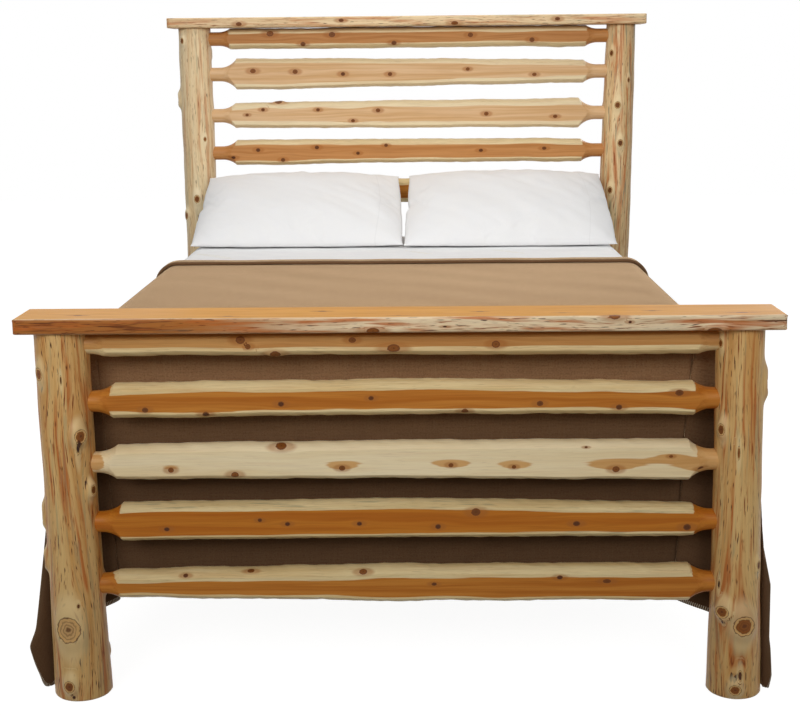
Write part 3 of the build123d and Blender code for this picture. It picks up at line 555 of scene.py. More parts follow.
make_rail(
    "headboard_rail_6", POST_Y, 0.330, (0.100, 0.096, 0.098), 0.0, (0.008, 0.005),
    [(-420, 0, 9, 8, 0, 0.5), (120, 15, 9, 7, 0, 0.4)],
    seed=199, gap=0.030, material=tan_cedar, ring=0.010)


# ------------------------------------------------------------------- side rails
# Two heavier logs, sawn flat on the inside and outside, with their bark side left round
# above and below. Steel plates let into their ends hook into the posts.
side_cedar = cedar("side rail cedar", "#D2BC8A", "#C4A872", "#BD8243", "#A86C2E", flecks=0.2,
                   grey=0.2)
for word, sign in (("left", -1), ("right", 1)):
    make_rail(
        f"side_rail_{word}", sign * SIDE_RAIL_X, 0.370, (0.138, 0.139, 0.138), 0.0, (0.014, 0.012),
        [(-800, 10, 12, 10, 1, 0.3), (-420, -20, 10, 9, 1, 0.5), (-50, 22, 13, 11, 1, 0.2),
         (310, -6, 10, 8, 1, 0.6), (660, 18, 11, 9, 1, 0.3), (940, -24, 9, 8, 1, 0.5)],
        seed=211 + sign, gap=0.0, material=side_cedar, ring=0.009, waves=0.0010, along="Y",
        thick=0.030, log=0.070)


# ------------------------------------------------------------------- caps
# A thick sawn plank lies on each pair of posts, on two hidden tenons. Its top is planed to
# the orange heartwood, and its front edge is the log's own peeled skin, knots and all.
FRONT_ARRIS, UNDER_ARRIS, ARRIS = 0.0060, 0.0090, 0.0045
CAP_RINGS = 430


def make_cap(name, losses, edge_knots, top_knots, stain_ends, seed, material):
    """A cap plank along X. losses are how many mm its front edge is short of the full depth
    at even steps. A knot is in mm. Its place is its X and its height above the middle of the
    front edge, or on the top its distance back from that edge."""
    low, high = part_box(name)
    deep, thick = high.y - low.y, high.z - low.z

    # The plank's section: four rounded arrises, each with the flat that follows it cut into
    # steps, from the top of the front edge over the top and round.
    turns = []
    for corner, (rounding, y_side, z_side, flat_steps) in enumerate((
        (FRONT_ARRIS, -1, 1, 34), (ARRIS, 1, 1, 7), (ARRIS, 1, -1, 20), (UNDER_ARRIS, -1, -1, 12),
    )):
        centre = np.array([y_side * (deep / 2 - rounding), z_side * (thick / 2 - rounding)])
        for step in range(6):
            way = math.pi - (corner + step / 5) * math.pi / 2
            out = np.array([math.cos(way), math.sin(way)])
            turns.append((np.concatenate([centre + rounding * out, out]),
                          flat_steps if step == 5 else 1))
    section = np.array([here + (there - here) * step / steps for (here, steps), (there, _)
                        in zip(turns, turns[1:] + turns[:1]) for step in range(steps)])
    gaps = np.hypot(*(np.roll(section[:, :2], -1, 0) - section[:, :2]).T)
    walked = np.cumsum(gaps) - gaps + thick / 2 - FRONT_ARRIS

    dense = np.array([0, 0.0003, 0.0011, 0.0024, ARRIS])
    stations = np.concatenate([
        low.x + dense, np.linspace(low.x + 0.008, high.x - 0.008, CAP_RINGS),
        high.x - dense[::-1]])
    mesh, turn, share = round_blank(len(section), len(stations) - 1)
    step = np.mod(np.round(turn * len(section)).astype(int), len(section))
    x = stations[np.round(share * (len(stations) - 1)).astype(int)]
    y, z, out_y, out_z = section[step].T
    front = np.clip(-out_y, 0, 1) ** 0.7
    placed = [(along / 1000, start + way / 1000, tall / 1000, long / 1000, swell / 1000, dark)
              for start, group in ((0, edge_knots), (thick / 2, top_knots))
              for along, way, long, tall, swell, dark in group]
    offset, bend, swelling, darkness = knots_over(x, walked[step], gaps.sum(), placed)
    loss = np.interp(x, np.linspace(low.x, high.x, len(losses)), losses) / 1000
    skin = swelling - loss + 0.0009 * ripple(seed, 0.30, x, z)
    skin += 0.0005 * ripple(seed + 1, 0.05, x, z) + 0.0006 * ripple(seed + 5, 0.11, x)
    skin -= 0.0035 * np.clip(np.abs(x) - (high.x - 0.012), 0, 1) / 0.012

    # The ends are rounded over as the long arrises are.
    short = np.maximum(ARRIS - np.minimum(x - low.x, high.x - x), 0)
    inset = ARRIS - np.sqrt(ARRIS**2 - short**2)
    sway = 0.0012 * ripple(seed + 2, 0.5, x) * np.clip(-out_z, 0, 1) * front
    y, z = y - inset * out_y - skin * front, z - inset * out_z + sway
    grain = np.stack([y + bend * out_z, z - bend * out_y, x], 1)

    # The heart starts close behind the front edge on top, and further back elsewhere.
    on_top, below = z > thick / 2 - 0.003, z < -thick / 2 + 0.003
    heart = y + deep / 2 - np.where(
        on_top, 0.0095 - 0.001 * ripple(seed + 3, 0.4, x), np.where(below, 0.02, 0.030))
    write_skin(mesh, x, (low.y + high.y) / 2 + y, (low.z + high.z) / 2 + z, grain=grain,
               knot=offset, dark=darkness, heart=np.clip(heart, -0.03, 0.03),
               stain=np.interp(x, *zip(*stain_ends)) * front)
    put_in(f"{name}_plank", mesh, material, "bed", name, sharp=50)


golden_plank = cedar("planed cedar plank", "#F4DEB8", "#E4C49A", "#E3A23C", "#D5902E",
                     flecks=1.0, grey=0.15, fibre=0.38)
pale_plank = cedar("pale cedar plank", "#F8E0B4", "#E8CC9C", "#D8AA6C", "#CA9959", flecks=0.7,
                   grey=0.3, fibre=0.22)
make_cap(
    "footboard_cap", [3, 0, 2, 1, 0, 3, 1, 2, 4],
    [(-58, -13, 14, 8, 3.5, 0.15), (107, -4, 5, 2, 0, 0.9), (495, 21, 12, 10, 1.5, 0.1),
     (530, 4, 4, 3, 0, 0.95), (723, -18, 16, 8, 4.5, 0.1), (862, 4, 40, 1.8, -1.2, 0.95)],
    [(-394, 30, 11, 3, 0, 0.5), (1, 26, 11, 2.6, 0, 0.5), (-748, 52, 10, 4, 0, 0.6),
     (-180, 90, 10, 5, 0, 0.4), (380, 46, 10, 2.6, 0, 0.5), (792, 36, 14, 4, 0, 0.2),
     (590, 66, 8, 4, 0, 0.3), (190, 70, 8, 4, 0, 0.4)],
    [(-0.89, 1.0), (-0.50, 1.0), (-0.30, 0.55), (-0.10, 0.15), (0.1, 0.0), (0.89, 0.15)],
    seed=307, material=golden_plank)
make_cap(
    "headboard_cap", [2, 1, 0, 2, 1, 0, 2, 1, 2],
    [(-620, -6, 10, 7, 2, 0.4), (-240, 4, 9, 6, 1, 0.5), (180, -10, 12, 7, 3, 0.3),
     (560, 2, 9, 6, 1, 0.5)],
    [(-500, 50, 10, 5, 0, 0.5), (420, 80, 10, 5, 0, 0.5)],
    [(-0.89, 0.35), (0.0, 0.20), (0.89, 0.30)],
    seed=317, material=pale_plank)


# ------------------------------------------------------------------- slats, beam and legs
# Planed softwood lumber, out of sight: two ledgers screwed inside the side rails, five slats
# across them, a beam down the middle on three legs, and the loose tenons under the caps.


def pine(name, lengthwise):
    """Planed pine, unfinished: pale straw wood with fine darker growth lines along X, Y or Z
    (0, 1 or 2), and now and then a small brown knot."""
    material, tree = bare_material(name)
    place = add_node(tree, "TexCoord", {}, "Object")
    # Growth lines 6 mm apart and 500 mm long, fibres 1.5 mm wide, knots a hand apart.
    drawn = draw_out(tree, place, [
        (streak, [along if axis == lengthwise else across for axis in range(3)], 3.0, 0.0)
        for streak, across, along in (("growth", 6, 500), ("fibre", 1.5, 60), ("board", 45, 700))])
    near_knot = add_node(tree, "TexVoronoi", {"Vector": place, "Scale": 4.5}, "Distance")
    colour = lay_coats(tree, "#E0C597", [
        (drawn["board"], 0.35, 0.65, 1.0, "#D2B17C"),
        (drawn["growth"], 0.50, 0.66, 0.55, "#B98A4F"),
        (drawn["fibre"], 0.45, 0.75, 0.25, "#9A6E3A"), (near_knot, 0.085, 0.055, 1.0, "#8B5A2C")])
    skin = add_node(tree, "Bump", {
        "Height": drawn["fibre"], "Distance": 0.0004, "Strength": 0.4}, "Normal")
    shader = add_node(tree, "BsdfPrincipled", {
        "Base Color": colour, "Roughness": 0.62, "IOR": 1.5, "Normal": skin})
    add_node(tree, "OutputMaterial", {"Surface": shader})
    return material


def finish_nodes(material, *nodes):
    """Gives CAD nodes, whose shape stays, their material."""
    for node in nodes:
        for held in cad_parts[node].material_slots:
            held.material = material


finish_nodes(pine("pine slat", 0), *[f"slat_{i}" for i in range(1, 6)])
finish_nodes(pine("pine beam", 1), "ledger_left", "ledger_right", "centre_beam")
finish_nodes(pine("pine leg", 2), "cap_tenons",
             *[f"centre_leg_{i}" for i in (1, 2, 3)])


# ------------------------------------------------------------------- brackets and glides
# Knock-down bed brackets: stamped steel plates, zinc plated, one let into each side rail's
# end with hooks and one into the post with slots. Nylon glides are nailed under the legs.


def zinc_plate():
    """Bright zinc on rolled steel: a grey-blue metal, softly mottled by the crystals of the
    plating, a little duller where it has been handled."""
    material, tree = bare_material("zinc-plated steel")
    place = add_node(tree, "TexCoord", {}, "Object")
    # Crystals about 3 mm across, and dull patches about 25 mm.
    crystal = add_node(tree, "TexVoronoi", {"Vector": place, "Scale": 330.0}, "Color")
    dull = add_node(tree, "TexNoise", {"Vector": place, "Scale": 40.0}, "Fac")
    grey = add_node(tree, "Mix", {
        0: 0.08, 6: "#AEB4B8", 7: crystal}, 2, data_type="RGBA")
    rough = add_node(tree, "MapRange", {
        "Value": dull, "From Min": 0.3, "From Max": 0.7, "To Min": 0.30, "To Max": 0.46}, "Result")
    shader = add_node(tree, "BsdfPrincipled", {
        "Base Color": grey, "Metallic": 1.0, "Roughness": rough})
    add_node(tree, "OutputMaterial", {"Surface": shader})
    return material


def moulded_nylon():
    """Black nylon, injection moulded: a dark, faintly grained surface with a soft gloss."""
    material, tree = bare_material("moulded black nylon")
    place = add_node(tree, "TexCoord", {}, "Object")
    # The mould's grain, 0.8 mm.
    pitted = add_node(tree, "TexNoise", {"Vector": place, "Scale": 1250.0}, "Fac")
    skin = add_node(tree, "Bump", {
        "Height": pitted, "Distance": 0.0002, "Strength": 0.3}, "Normal")
    shade = add_node(tree, "Mix", {
        0: pitted, 6: "#1E1E1F", 7: "#2B2B2D"}, 2, data_type="RGBA")
    shader = add_node(tree, "BsdfPrincipled", {
        "Base Color": shade, "Roughness": 0.48, "IOR": 1.53, "Normal": skin})
    add_node(tree, "OutputMaterial", {"Surface": shader})
    return material


finish_nodes(zinc_plate(), *[f"{plate}_{end}_{word}" for plate in ("hook_plate", "post_plate")
                             for end in ("foot", "head") for word in ("left", "right")])
finish_nodes(moulded_nylon(), "leg_glides")


# ------------------------------------------------------------------- foundation and mattress
# A box foundation under a pillow-firm innerspring mattress, both in woven ticking. A corded
# tape is sewn round each edge where the border meets the panels.


def soft_box(name, low, high, corner, arris, cell, open_below=False):
    """A box of even cells with round upright corners and softly rounded arrises: its mesh
    and its corners' places, with none below if it is open there."""
    block = bmesh.new()
    bmesh.ops.create_cube(block, size=1)
    spans = []
    for axis, (least, most) in enumerate(zip(low, high)):
        near = np.array([0, 0.25, 0.6, 1.0]) * arris
        if axis < 2:
            near = np.append(near, np.linspace(arris, corner, 6)[1:])
        middle = np.linspace(least + near[-1], most - near[-1],
                             max(3, round((most - least - 2 * near[-1]) / cell)))
        spans.append(np.concatenate([least + near[:-1], middle, most - near[:-1][::-1]]))
        lines = [e for e in block.edges
                 if abs(e.verts[0].co[axis] - e.verts[1].co[axis]) > 0.9]
        bmesh.ops.subdivide_edges(block, edges=lines, cuts=len(spans[-1]) - 2,
                                  use_grid_fill=True)
    if open_below:
        bmesh.ops.delete(block, context="FACES",
                         geom=[f for f in block.faces if f.normal.z < -0.9])
        bmesh.ops.delete(block, context="VERTS",
                         geom=[v for v in block.verts if not v.link_faces])
    mesh = mesh_of(block, name)
    places = np.column_stack([
        span[np.round((place + 0.5) * (len(span) - 1)).astype(int)]
        for place, span in zip(corners_of(mesh).T, spans)])

    # Past where a corner or an arris starts, each point is drawn in onto its round.
    centre, half = (np.array(low) + high) / 2, (np.array(high) - low) / 2
    away, rounds = places - centre, [corner, corner, arris]
    past = np.maximum(np.abs(away) - (half - rounds), 0)
    out, square, up = np.hypot(*past.T[:2]), np.max(past[:, :2], axis=1), past[:, 2]
    edge_out = np.maximum(square - (corner - arris), 0)
    scale = np.maximum(edge_out, up) / np.maximum(np.hypot(edge_out, up), 1e-9)
    if open_below:
        edge_out = np.where(away[:, 2] < 0, 0, edge_out)
    in_arris = (edge_out > 0) & (up > 0)
    radial = np.where(in_arris, corner - arris + edge_out * scale, square)
    inner = np.minimum(np.abs(away), half - rounds)
    flat = inner[:, :2] + past[:, :2] * (radial / np.maximum(out, 1e-9))[:, None]
    height = inner[:, 2] + np.where(in_arris, up * scale, up)
    return mesh, centre + np.sign(away) * np.column_stack([flat, height])


def cord_round(low, high, corner, height, thick):
    """The tape's cord: a thin tube round a box's outline at one height, as a mesh."""
    line = bpy.data.curves.new("cord", "CURVE")
    line.dimensions = "3D"
    line.bevel_depth, line.bevel_resolution = thick / 2, 2
    spline = line.splines.new("POLY")
    spline.points.add(4 * 9 - 1)
    spline.use_cyclic_u = True
    for step, point in enumerate(spline.points):
        quarter, part = divmod(step, 9)
        way = (quarter + part / 8) * math.pi / 2
        centre_x = high[0] - corner if quarter in (0, 3) else low[0] + corner
        centre_y = high[1] - corner if quarter < 2 else low[1] + corner
        point.co = (centre_x + corner * math.cos(way), centre_y + corner * math.sin(way),
                    height, 1)
    holder = bpy.data.objects.new("cord", line)
    cord = bpy.data.meshes.new_from_object(holder)
    bpy.data.objects.remove(holder)
    return cord


def ticking(name, ground, figure, stripe):
    """Woven mattress ticking: a pale, slightly shiny damask with a small figure, and a few
    fine stripes along its length."""
    material, tree = bare_material(name)
    place = add_node(tree, "TexCoord", {}, "Object")
    # The figure is a sprig about 45 mm long, the stripes 24 mm apart, the threads 1.2 mm.
    sprig = add_node(tree, "TexVoronoi", {
        "Vector": place, "Scale": 22.0, "Smoothness": 0.6}, "Distance", feature="SMOOTH_F1")
    stripes = add_node(tree, "TexWave", {
        "Vector": place, "Scale": 13.0, "Distortion": 0.0}, "Fac", bands_direction="Z")
    thread = add_node(tree, "TexNoise", {"Vector": place, "Scale": 800.0}, "Fac")
    colour = lay_coats(tree, ground, [
        (sprig, 0.36, 0.30, 0.7, figure), (stripes, 0.90, 0.97, 0.6, stripe),
        (thread, 0.4, 0.7, 0.15, stripe)])
    skin = add_node(tree, "Bump", {
        "Height": sprig, "Distance": 0.002, "Strength": 0.35}, "Normal")
    shader = add_node(tree, "BsdfPrincipled", {
        "Base Color": colour, "Roughness": 0.6, "Normal": skin, "Sheen Weight": 0.25})
    add_node(tree, "OutputMaterial", {"Surface": shader})
    return material


# The mattress has slid a finger's width to the left on its foundation.
BEDDING_SHIFT = -0.012
TAPE_CORD = 0.006


def make_padded_box(name, corner, arris, cell, soft, seed, shift, material):
    """A foundation or a mattress: its crowned block and its two corded tapes."""
    low, high = (np.array(end) + [shift, 0, 0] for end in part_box(name))
    inside = np.array([TAPE_CORD / 2, TAPE_CORD / 2, 0])
    mesh, places = soft_box(name, low + inside, high - inside, corner, arris, cell)
    share = (places[:, 2] - low[2]) / (high[2] - low[2])
    # The border draws in between its tapes.
    pull = soft * (4 * share * (1 - share)) ** 0.7 * (1 + 0.4 * ripple(seed, 0.5, *places.T))
    away = places[:, :2] - (low + high)[:2] / 2
    out = np.abs(away) / (high - low - 2 * inside)[:2] * 2
    on_side = np.max(out, axis=1) > 0.995
    places[:, :2] -= (on_side * pull)[:, None] * np.sign(away) * (out > 0.93)
    move_corners(mesh, places)
    face_outwards(mesh, *[cord_round(low, high, corner, height, TAPE_CORD)
                          for height in (low[2] + arris * 0.9, high[2] - arris * 0.9)])
    piece = put_in(f"{name}_pad", mesh, material, "bed", name, sharp=70)


make_padded_box(
    "foundation", corner=0.045, arris=0.008, cell=0.040, soft=0.0015, seed=401,
    shift=0.0, material=ticking("foundation ticking", "#DAD6CB", "#E9E6DD", "#B9B2A1"))
make_padded_box(
    "mattress", corner=0.060, arris=0.046, cell=0.035, soft=0.004, seed=409,
    shift=BEDDING_SHIFT, material=ticking("mattress ticking", "#ECEAE4", "#F4F3EF", "#C9CDD2"))


# ------------------------------------------------------------------- fitted sheet
# White cotton percale with boxed corners, pulled over the mattress and gathered under its
# border by elastic.


def percale(name, white, hem_at=None):
    """White cotton percale: a crisp, matt, closely woven cloth. The threads are far finer
    than shows, so they are drawn 2 mm apart; laundering leaves a faint soft crumple."""
    material, tree = bare_material(name)
    place = add_node(tree, "TexCoord", {}, "Object")
    crumple = add_node(tree, "TexNoise", {
        "Vector": place, "Scale": 16.0, "Detail": 4.0, "Roughness": 0.5}, "Fac")
    thread = add_node(tree, "TexNoise", {"Vector": place, "Scale": 500.0}, "Fac")
    tone = add_node(tree, "Mix", {0: crumple, 6: white, 7: "#E9E9EA"}, 2, data_type="RGBA")
    relief = add_node(tree, "Math", {0: thread, 1: 0.02, 2: crumple}, operation="MULTIPLY_ADD")
    if hem_at is not None:
        # The wide hem at the open end: its line of stitches makes a small furrow, drawn only as
        # painted shade that darkens the colour within 3 mm of the line.
        across = add_node(tree, "Attribute", {}, "Vector", attribute_name="cloth")
        across = add_node(tree, "SeparateXYZ", {0: across}, "X")
        beside = add_node(tree, "Math", {0: across, 1: hem_at}, operation="SUBTRACT")
        beside = add_node(tree, "Math", {0: beside}, operation="ABSOLUTE")
        furrow_shade = add_node(tree, "MapRange", {
            "Value": beside, "From Min": 0.0, "From Max": 0.003, "To Min": 0.94, "To Max": 1.0},
            "Result")
        tone = add_node(tree, "Mix", {
            0: 1.0, 6: tone, 7: furrow_shade}, 2, data_type="RGBA", blend_type="MULTIPLY")
    skin = add_node(tree, "Bump", {
        "Height": relief, "Distance": 0.008, "Strength": 0.30}, "Normal")
    shader = add_node(tree, "BsdfPrincipled", {
        "Base Color": tone, "Roughness": 0.82, "Normal": skin, "Sheen Weight": 0.15,
        "Sheen Roughness": 0.4})
    add_node(tree, "OutputMaterial", {"Surface": shader})
    return material


low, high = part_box("fitted_sheet")
mesh, places = soft_box("fitted_sheet", low, high, corner=0.063, arris=0.048, cell=0.022,
                        open_below=True)
x, y, z = places.T
down = np.clip((high[2] - z) / (high[2] - low[2]), 0, 1)
# Soft swells on top, shallow draws down the border, and small gathers at the elastic.
rise = 0.0012 * ripple(431, 0.45, x, y) + 0.0006 * ripple(433, 0.14, x, y)
places[:, 2] += np.where(down < 0.1, rise - 0.0015, 0)
run = np.where(np.abs(x) > high[0] - 0.07, y, x)
gather = 0.0014 * down**1.5 * ripple(439, 0.07, run) + 0.0008 * down * ripple(443, 0.30, run, z)
outward = np.column_stack([x / high[0], y / high[1]])
outward = np.sign(outward) * (np.abs(outward) > 0.96)
places[:, :2] += outward * (gather - 0.0006)[:, None] * (down > 0.02)[:, None]
places[:, 0] += BEDDING_SHIFT
move_corners(mesh, places)
piece = put_in("fitted_sheet_cloth", mesh, percale("cotton percale", "#F7F7F6"), "bed",
               "fitted_sheet")
cloth = piece.modifiers.new("thickness", "SOLIDIFY")
cloth.thickness, cloth.offset = 0.0009, 0.0


# ------------------------------------------------------------------- blanket
# A brown wool blanket with a whipped edge. Its head end is folded back twice into a soft
# roll; its sides and foot hang down between the mattress and the rails, and its two foot
# corners fall in cones round the outside of the posts, to the floor.
CLOTH_WIDTH, CLOTH_LENGTH = 2.743, 1.986
CLOTH_THICK = 0.0045
TOP_LEVEL = 0.8785
SIDE_FOLD, FOOT_FOLD, HEAD_FOLD = 0.722, -0.976, 0.215
FOLD_ROUND = 0.050
HEM_CORNER = 0.060

FLAT_CELL, HANGING_CELL, FOLD_CELL, ROLL_CELL = 0.0165, 0.0125, 0.0075, 0.011
CROWN = HEAD_FOLD - FOOT_FOLD
QUARTER_FOLD = FOLD_ROUND * math.pi / 2
half_width = CLOTH_WIDTH / 2

# The turn-back's section: how far from the head fold, and how high over the cloth below.
roll = np.array([
    (centre_y + radius * math.cos(way), centre_h + radius * math.sin(way))
    for centre_y, centre_h, radius, start, finish in (
        (0.0, 0.0058, 0.0058, -90, 90), (-0.045, 0.0087, 0.0029, 90, 270))
    for way in np.radians(np.linspace(start, finish, 9))] + [(-0.008, 0.0058)])
roll_walk = np.concatenate([[0], np.cumsum(np.hypot(*np.diff(roll, axis=0).T))])
foot_fold_at = CLOTH_LENGTH - roll_walk[-1] - CROWN

# Lines of the cloth's grid: across it from the middle, and along it from the foot hem.
across = np.concatenate([
    np.arange(0, SIDE_FOLD - 0.016, FLAT_CELL),
    SIDE_FOLD - 0.010 + np.arange(0, 0.098, FOLD_CELL),
    np.arange(SIDE_FOLD + 0.096, half_width - 0.010, HANGING_CELL),
    [half_width - 0.004, half_width]])
across = np.concatenate([-across[:0:-1], across])
along = np.concatenate([
    [0, 0.004], np.arange(0.014, foot_fold_at - 0.084, HANGING_CELL),
    foot_fold_at - 0.079 + np.arange(0, 0.079, FOLD_CELL),
    np.arange(foot_fold_at, foot_fold_at + CROWN - 0.012, FLAT_CELL),
    *[foot_fold_at + CROWN + np.arange(
        a, b - 1e-6, max((b - a) / max(1, round((b - a) / ROLL_CELL)), 1e-4))
      for a, b in zip(roll_walk[:-1], roll_walk[1:])], [foot_fold_at + CROWN + roll_walk[-1]]])

weave = bmesh.new()
bmesh.ops.create_grid(weave, x_segments=len(across) - 1, y_segments=len(along) - 1, size=0.5)
mesh = mesh_of(weave, "blanket")
a, b = (lines[np.round((place + 0.5) * (len(lines) - 1)).astype(int)]
        for place, lines in zip(corners_of(mesh).T, (across, along)))

# The hem's corners are cut round.
past_a, past_b = np.abs(a) - (half_width - HEM_CORNER), HEM_CORNER - b
cut = (past_a > 0) & (past_b > 0)
shrink = np.where(cut, np.maximum(past_a, past_b) / np.maximum(np.hypot(past_a, past_b), 1e-9), 1)
a = np.where(cut, np.sign(a) * (half_width - HEM_CORNER + past_a * shrink), a)
b = np.where(cut, HEM_CORNER - past_b * shrink, b)
past_a, past_b = np.abs(a) - (half_width - HEM_CORNER), HEM_CORNER - b
to_side = half_width - np.abs(a)
to_edge = np.where(cut, HEM_CORNER - np.hypot(past_a, past_b), np.minimum(to_side, b))
along_hem = np.where(cut, HEM_CORNER * (1 - np.arctan2(past_b, past_a)), np.where(
    to_side < b, b, past_a + HEM_CORNER * (1 - math.pi / 2)))


def over_fold(walk):
    """How far out and how far down a point is that lies `walk` past the start of a fold, if
    the cloth hangs straight down after it."""
    turn = np.clip(walk / FOLD_ROUND, 0, math.pi / 2)
    return FOLD_ROUND * np.sin(turn), FOLD_ROUND * (1 - np.cos(turn)) + np.maximum(
        walk - QUARTER_FOLD, 0)


def hang(walk, lean):
    """The drop of cloth that leans out by `lean`, given as pairs of walk and lean."""
    out, down = over_fold(walk)
    step = np.linspace(0, 1.0, 401)
    outward = np.interp(step, *zip(*lean))
    slope = np.gradient(outward, step)
    fall = np.concatenate([[0], np.cumsum(np.sqrt(np.maximum(1 - slope[1:] ** 2, 0.09)) / 400)])
    return out + np.interp(walk, step, outward), np.where(
        walk < QUARTER_FOLD, down,
        FOLD_ROUND + np.interp(walk, step, fall) - np.interp(QUARTER_FOLD, step, fall))


def smooth(value, start, finish):
    share = np.clip((value - start) / (finish - start), 0, 1)
    return share * share * (3 - 2 * share)


side_of = np.where(a < 0, -1, 1)
fold_at = SIDE_FOLD + side_of * BEDDING_SHIFT
walk_side = np.maximum(np.abs(a) - fold_at, 0)
walk_foot = np.maximum(foot_fold_at - b, 0)
past_roll = np.maximum(b - (foot_fold_at + CROWN), 0)
roll_y, roll_up = (np.interp(past_roll, roll_walk, places) for places in roll.T)
roll_y += 0.0035 * ripple(503, 0.5, a) * np.clip(-roll_y / 0.045, 0, 1)
roll_up *= 1 + 0.10 * ripple(509, 0.35, a)
y_flat = np.where(past_roll > 0, HEAD_FOLD + roll_y, b - foot_fold_at + FOOT_FOLD)

# The side drop leans out over the side rail, then hangs; towards the foot it swings out.
side_lean = [(0, 0), (0.45, 0.064), (0.62, 0.076), (1.0, 0.082)]
out_side, down_side = hang(walk_side, side_lean)
out_side -= side_of * BEDDING_SHIFT * smooth(walk_side, 0.05, 0.40)
waves = smooth(walk_side, 0.10, 0.60) * (
    0.014 * ripple(521, 0.34, y_flat) + 0.005 * ripple(523, 0.12, y_flat, walk_side))
swing = smooth(-y_flat, 0.45, 0.998)
out_foot, down_foot = over_fold(walk_foot)
out_foot = out_foot + 0.008 * np.clip(walk_foot / 0.2, 0, 1)
out_foot += 0.0032 * smooth(walk_foot, 0.08, 0.5) * ripple(541, 0.42, a)
out_foot += 0.0016 * smooth(walk_foot, 0.05, 0.4) * ripple(547, 0.16, a, walk_foot)

# A foot corner: angle 0 lies along the side drop and 90 along the foot drop. For each angle
# the cloth's swing out from the mattress corner, in full, and how much of it shows by how
# far down the cloth.
NEAR_FOOT = [(74, -0.010, -0.028), (80, -0.052, -0.024), (85, -0.030, -0.010),
             (90, 0.0, -0.008)]
CORNERS = {
    -1: ([(0, 0.095, 0.0), (15, 0.118, -0.040), (25, 0.130, -0.085), (35, 0.134, -0.105),
          (44, 0.128, -0.105), (51, 0.090, -0.065), (58, 0.078, -0.035), (66, 0.066, -0.024)],
         [(0, 0), (0.08, 0.15), (0.25, 0.42), (0.40, 0.58), (0.57, 0.74), (0.70, 0.87),
          (0.765, 0.94), (0.80, 1.06), (0.88, 0.99)]),
    1: ([(0, 0.105, 0.0), (15, 0.130, -0.040), (25, 0.143, -0.085), (35, 0.146, -0.105),
         (44, 0.140, -0.105), (51, 0.100, -0.065), (58, 0.085, -0.035), (66, 0.070, -0.024)],
        [(0, 0), (0.05, 0.10), (0.12, 0.35), (0.25, 0.60), (0.39, 0.72), (0.52, 0.80),
         (0.655, 0.985), (0.79, 1.0), (0.88, 1.10)]),
}
reach = np.hypot(walk_side, walk_foot)
turn = np.arctan2(walk_foot, walk_side)
ways = np.linspace(0, 90, 181)
ease = np.exp(-0.5 * (np.arange(-12, 13) / 3.5) ** 2)
ease /= ease.sum()
shown, full_x, full_y, corner_lean = np.zeros((4, len(a)))
for side, (swings, shares) in CORNERS.items():
    mine = side_of == side
    way, *swung = zip(*swings, *NEAR_FOOT)
    path_x, path_y = (
        np.convolve(np.pad(np.interp(ways, way, path), 12, "edge"), ease, "valid")
        for path in swung)
    full_x[mine] = np.interp(np.degrees(turn[mine]), ways, path_x)
    full_y[mine] = np.interp(np.degrees(turn[mine]), ways, path_y)
    shown[mine] = np.interp(reach[mine], *zip(*shares))
    corner_lean[mine] = np.interp(walk_side[mine], *zip(*shares)) * path_x[0]
    foot_end = path_y[-1]

# Towards the foot drop a corner draws in to meet it.
ball, fall = over_fold(reach)
corner_x = ball * np.cos(turn) + full_x * shown
corner_y = -ball * np.sin(turn) + full_y * shown - (1 - np.cos(turn) ** 2) ** 8 * (
    0.008 * np.clip(reach / 0.2, 0, 1) + foot_end * shown)
slant = 0.9 * np.hypot(full_x, full_y) / np.maximum(reach, 0.3)
corner_down = fall * np.where(fall > 0.03, np.sqrt(np.clip(1 - slant**2 * 0.8, 0.3, 1)), 1)

straight_out = over_fold(walk_side)[0]
out_side = straight_out + (out_side - straight_out) * (1 - swing) + corner_lean * swing
slant_side = np.where(
    walk_side > 0.2, 1 - 0.5 * (corner_lean / np.maximum(walk_side, 0.3)) ** 2 * swing, 1)
in_corner = (walk_side > 0) & (walk_foot > 0)
x = np.where(walk_side > 0, side_of * (fold_at + out_side + waves * (1 - swing)), a)
x = np.where(in_corner, side_of * (fold_at + corner_x), x)
y = np.where(walk_foot > 0, FOOT_FOLD - out_foot, y_flat)
y = np.where(in_corner, FOOT_FOLD + corner_y, y)
z = TOP_LEVEL - np.where(in_corner, corner_down, np.where(
    walk_side > 0, down_side * slant_side, 0) + np.where(walk_foot > 0, down_foot, 0))

# The roll stands out from whatever it lies on: up from the top, outwards on the drops.
lay = np.minimum(walk_side / QUARTER_FOLD, 1) * math.pi / 2
x = x + side_of * roll_up * np.sin(lay)
z = z + roll_up * np.cos(lay)
z += 0.0010 * ripple(557, 0.40, a, b) * (walk_side + walk_foot == 0)

# The cloth keeps clear of the posts, and lies on the floor where it reaches it.
for side, (floor_x, top_x), radius in (
        (-1, LEFT_FOOT_POST, 0.0735), (1, RIGHT_FOOT_POST, 0.0695)):
    post_x = floor_x + (top_x - floor_x) * z / FOOT_TOP
    girth = radius - 0.006 * np.clip(z / 0.5, 0, 1) + 0.003
    apart_x, apart_y = x - post_x, y + POST_Y
    apart = np.maximum(np.hypot(apart_x, apart_y), 1e-6)
    push = np.where(in_corner & (side_of == side), np.maximum(girth / apart, 1), 1)
    x, y = post_x + apart_x * push, -POST_Y + apart_y * push
z = np.maximum(z, CLOTH_THICK + 0.004 * (1 - np.exp(-np.maximum(0.03 - z, 0) / 0.02)))
x = np.clip(x, cad_low[0] + 0.004, cad_high[0] - 0.004)
# Painted shade: 0 on the flat top, rising to 1 down the drops, and 0.75 on the turn-back's roll.
# It is stored as the hem attribute's third part.
painted_shade = np.maximum(smooth(walk_side + walk_foot, 0.05, 0.42), 0.75 * (past_roll > 0))
write_skin(mesh, x, y, z, cloth=np.column_stack([a, b, 0 * a]),
           hem=np.column_stack([along_hem, to_edge, painted_shade]))


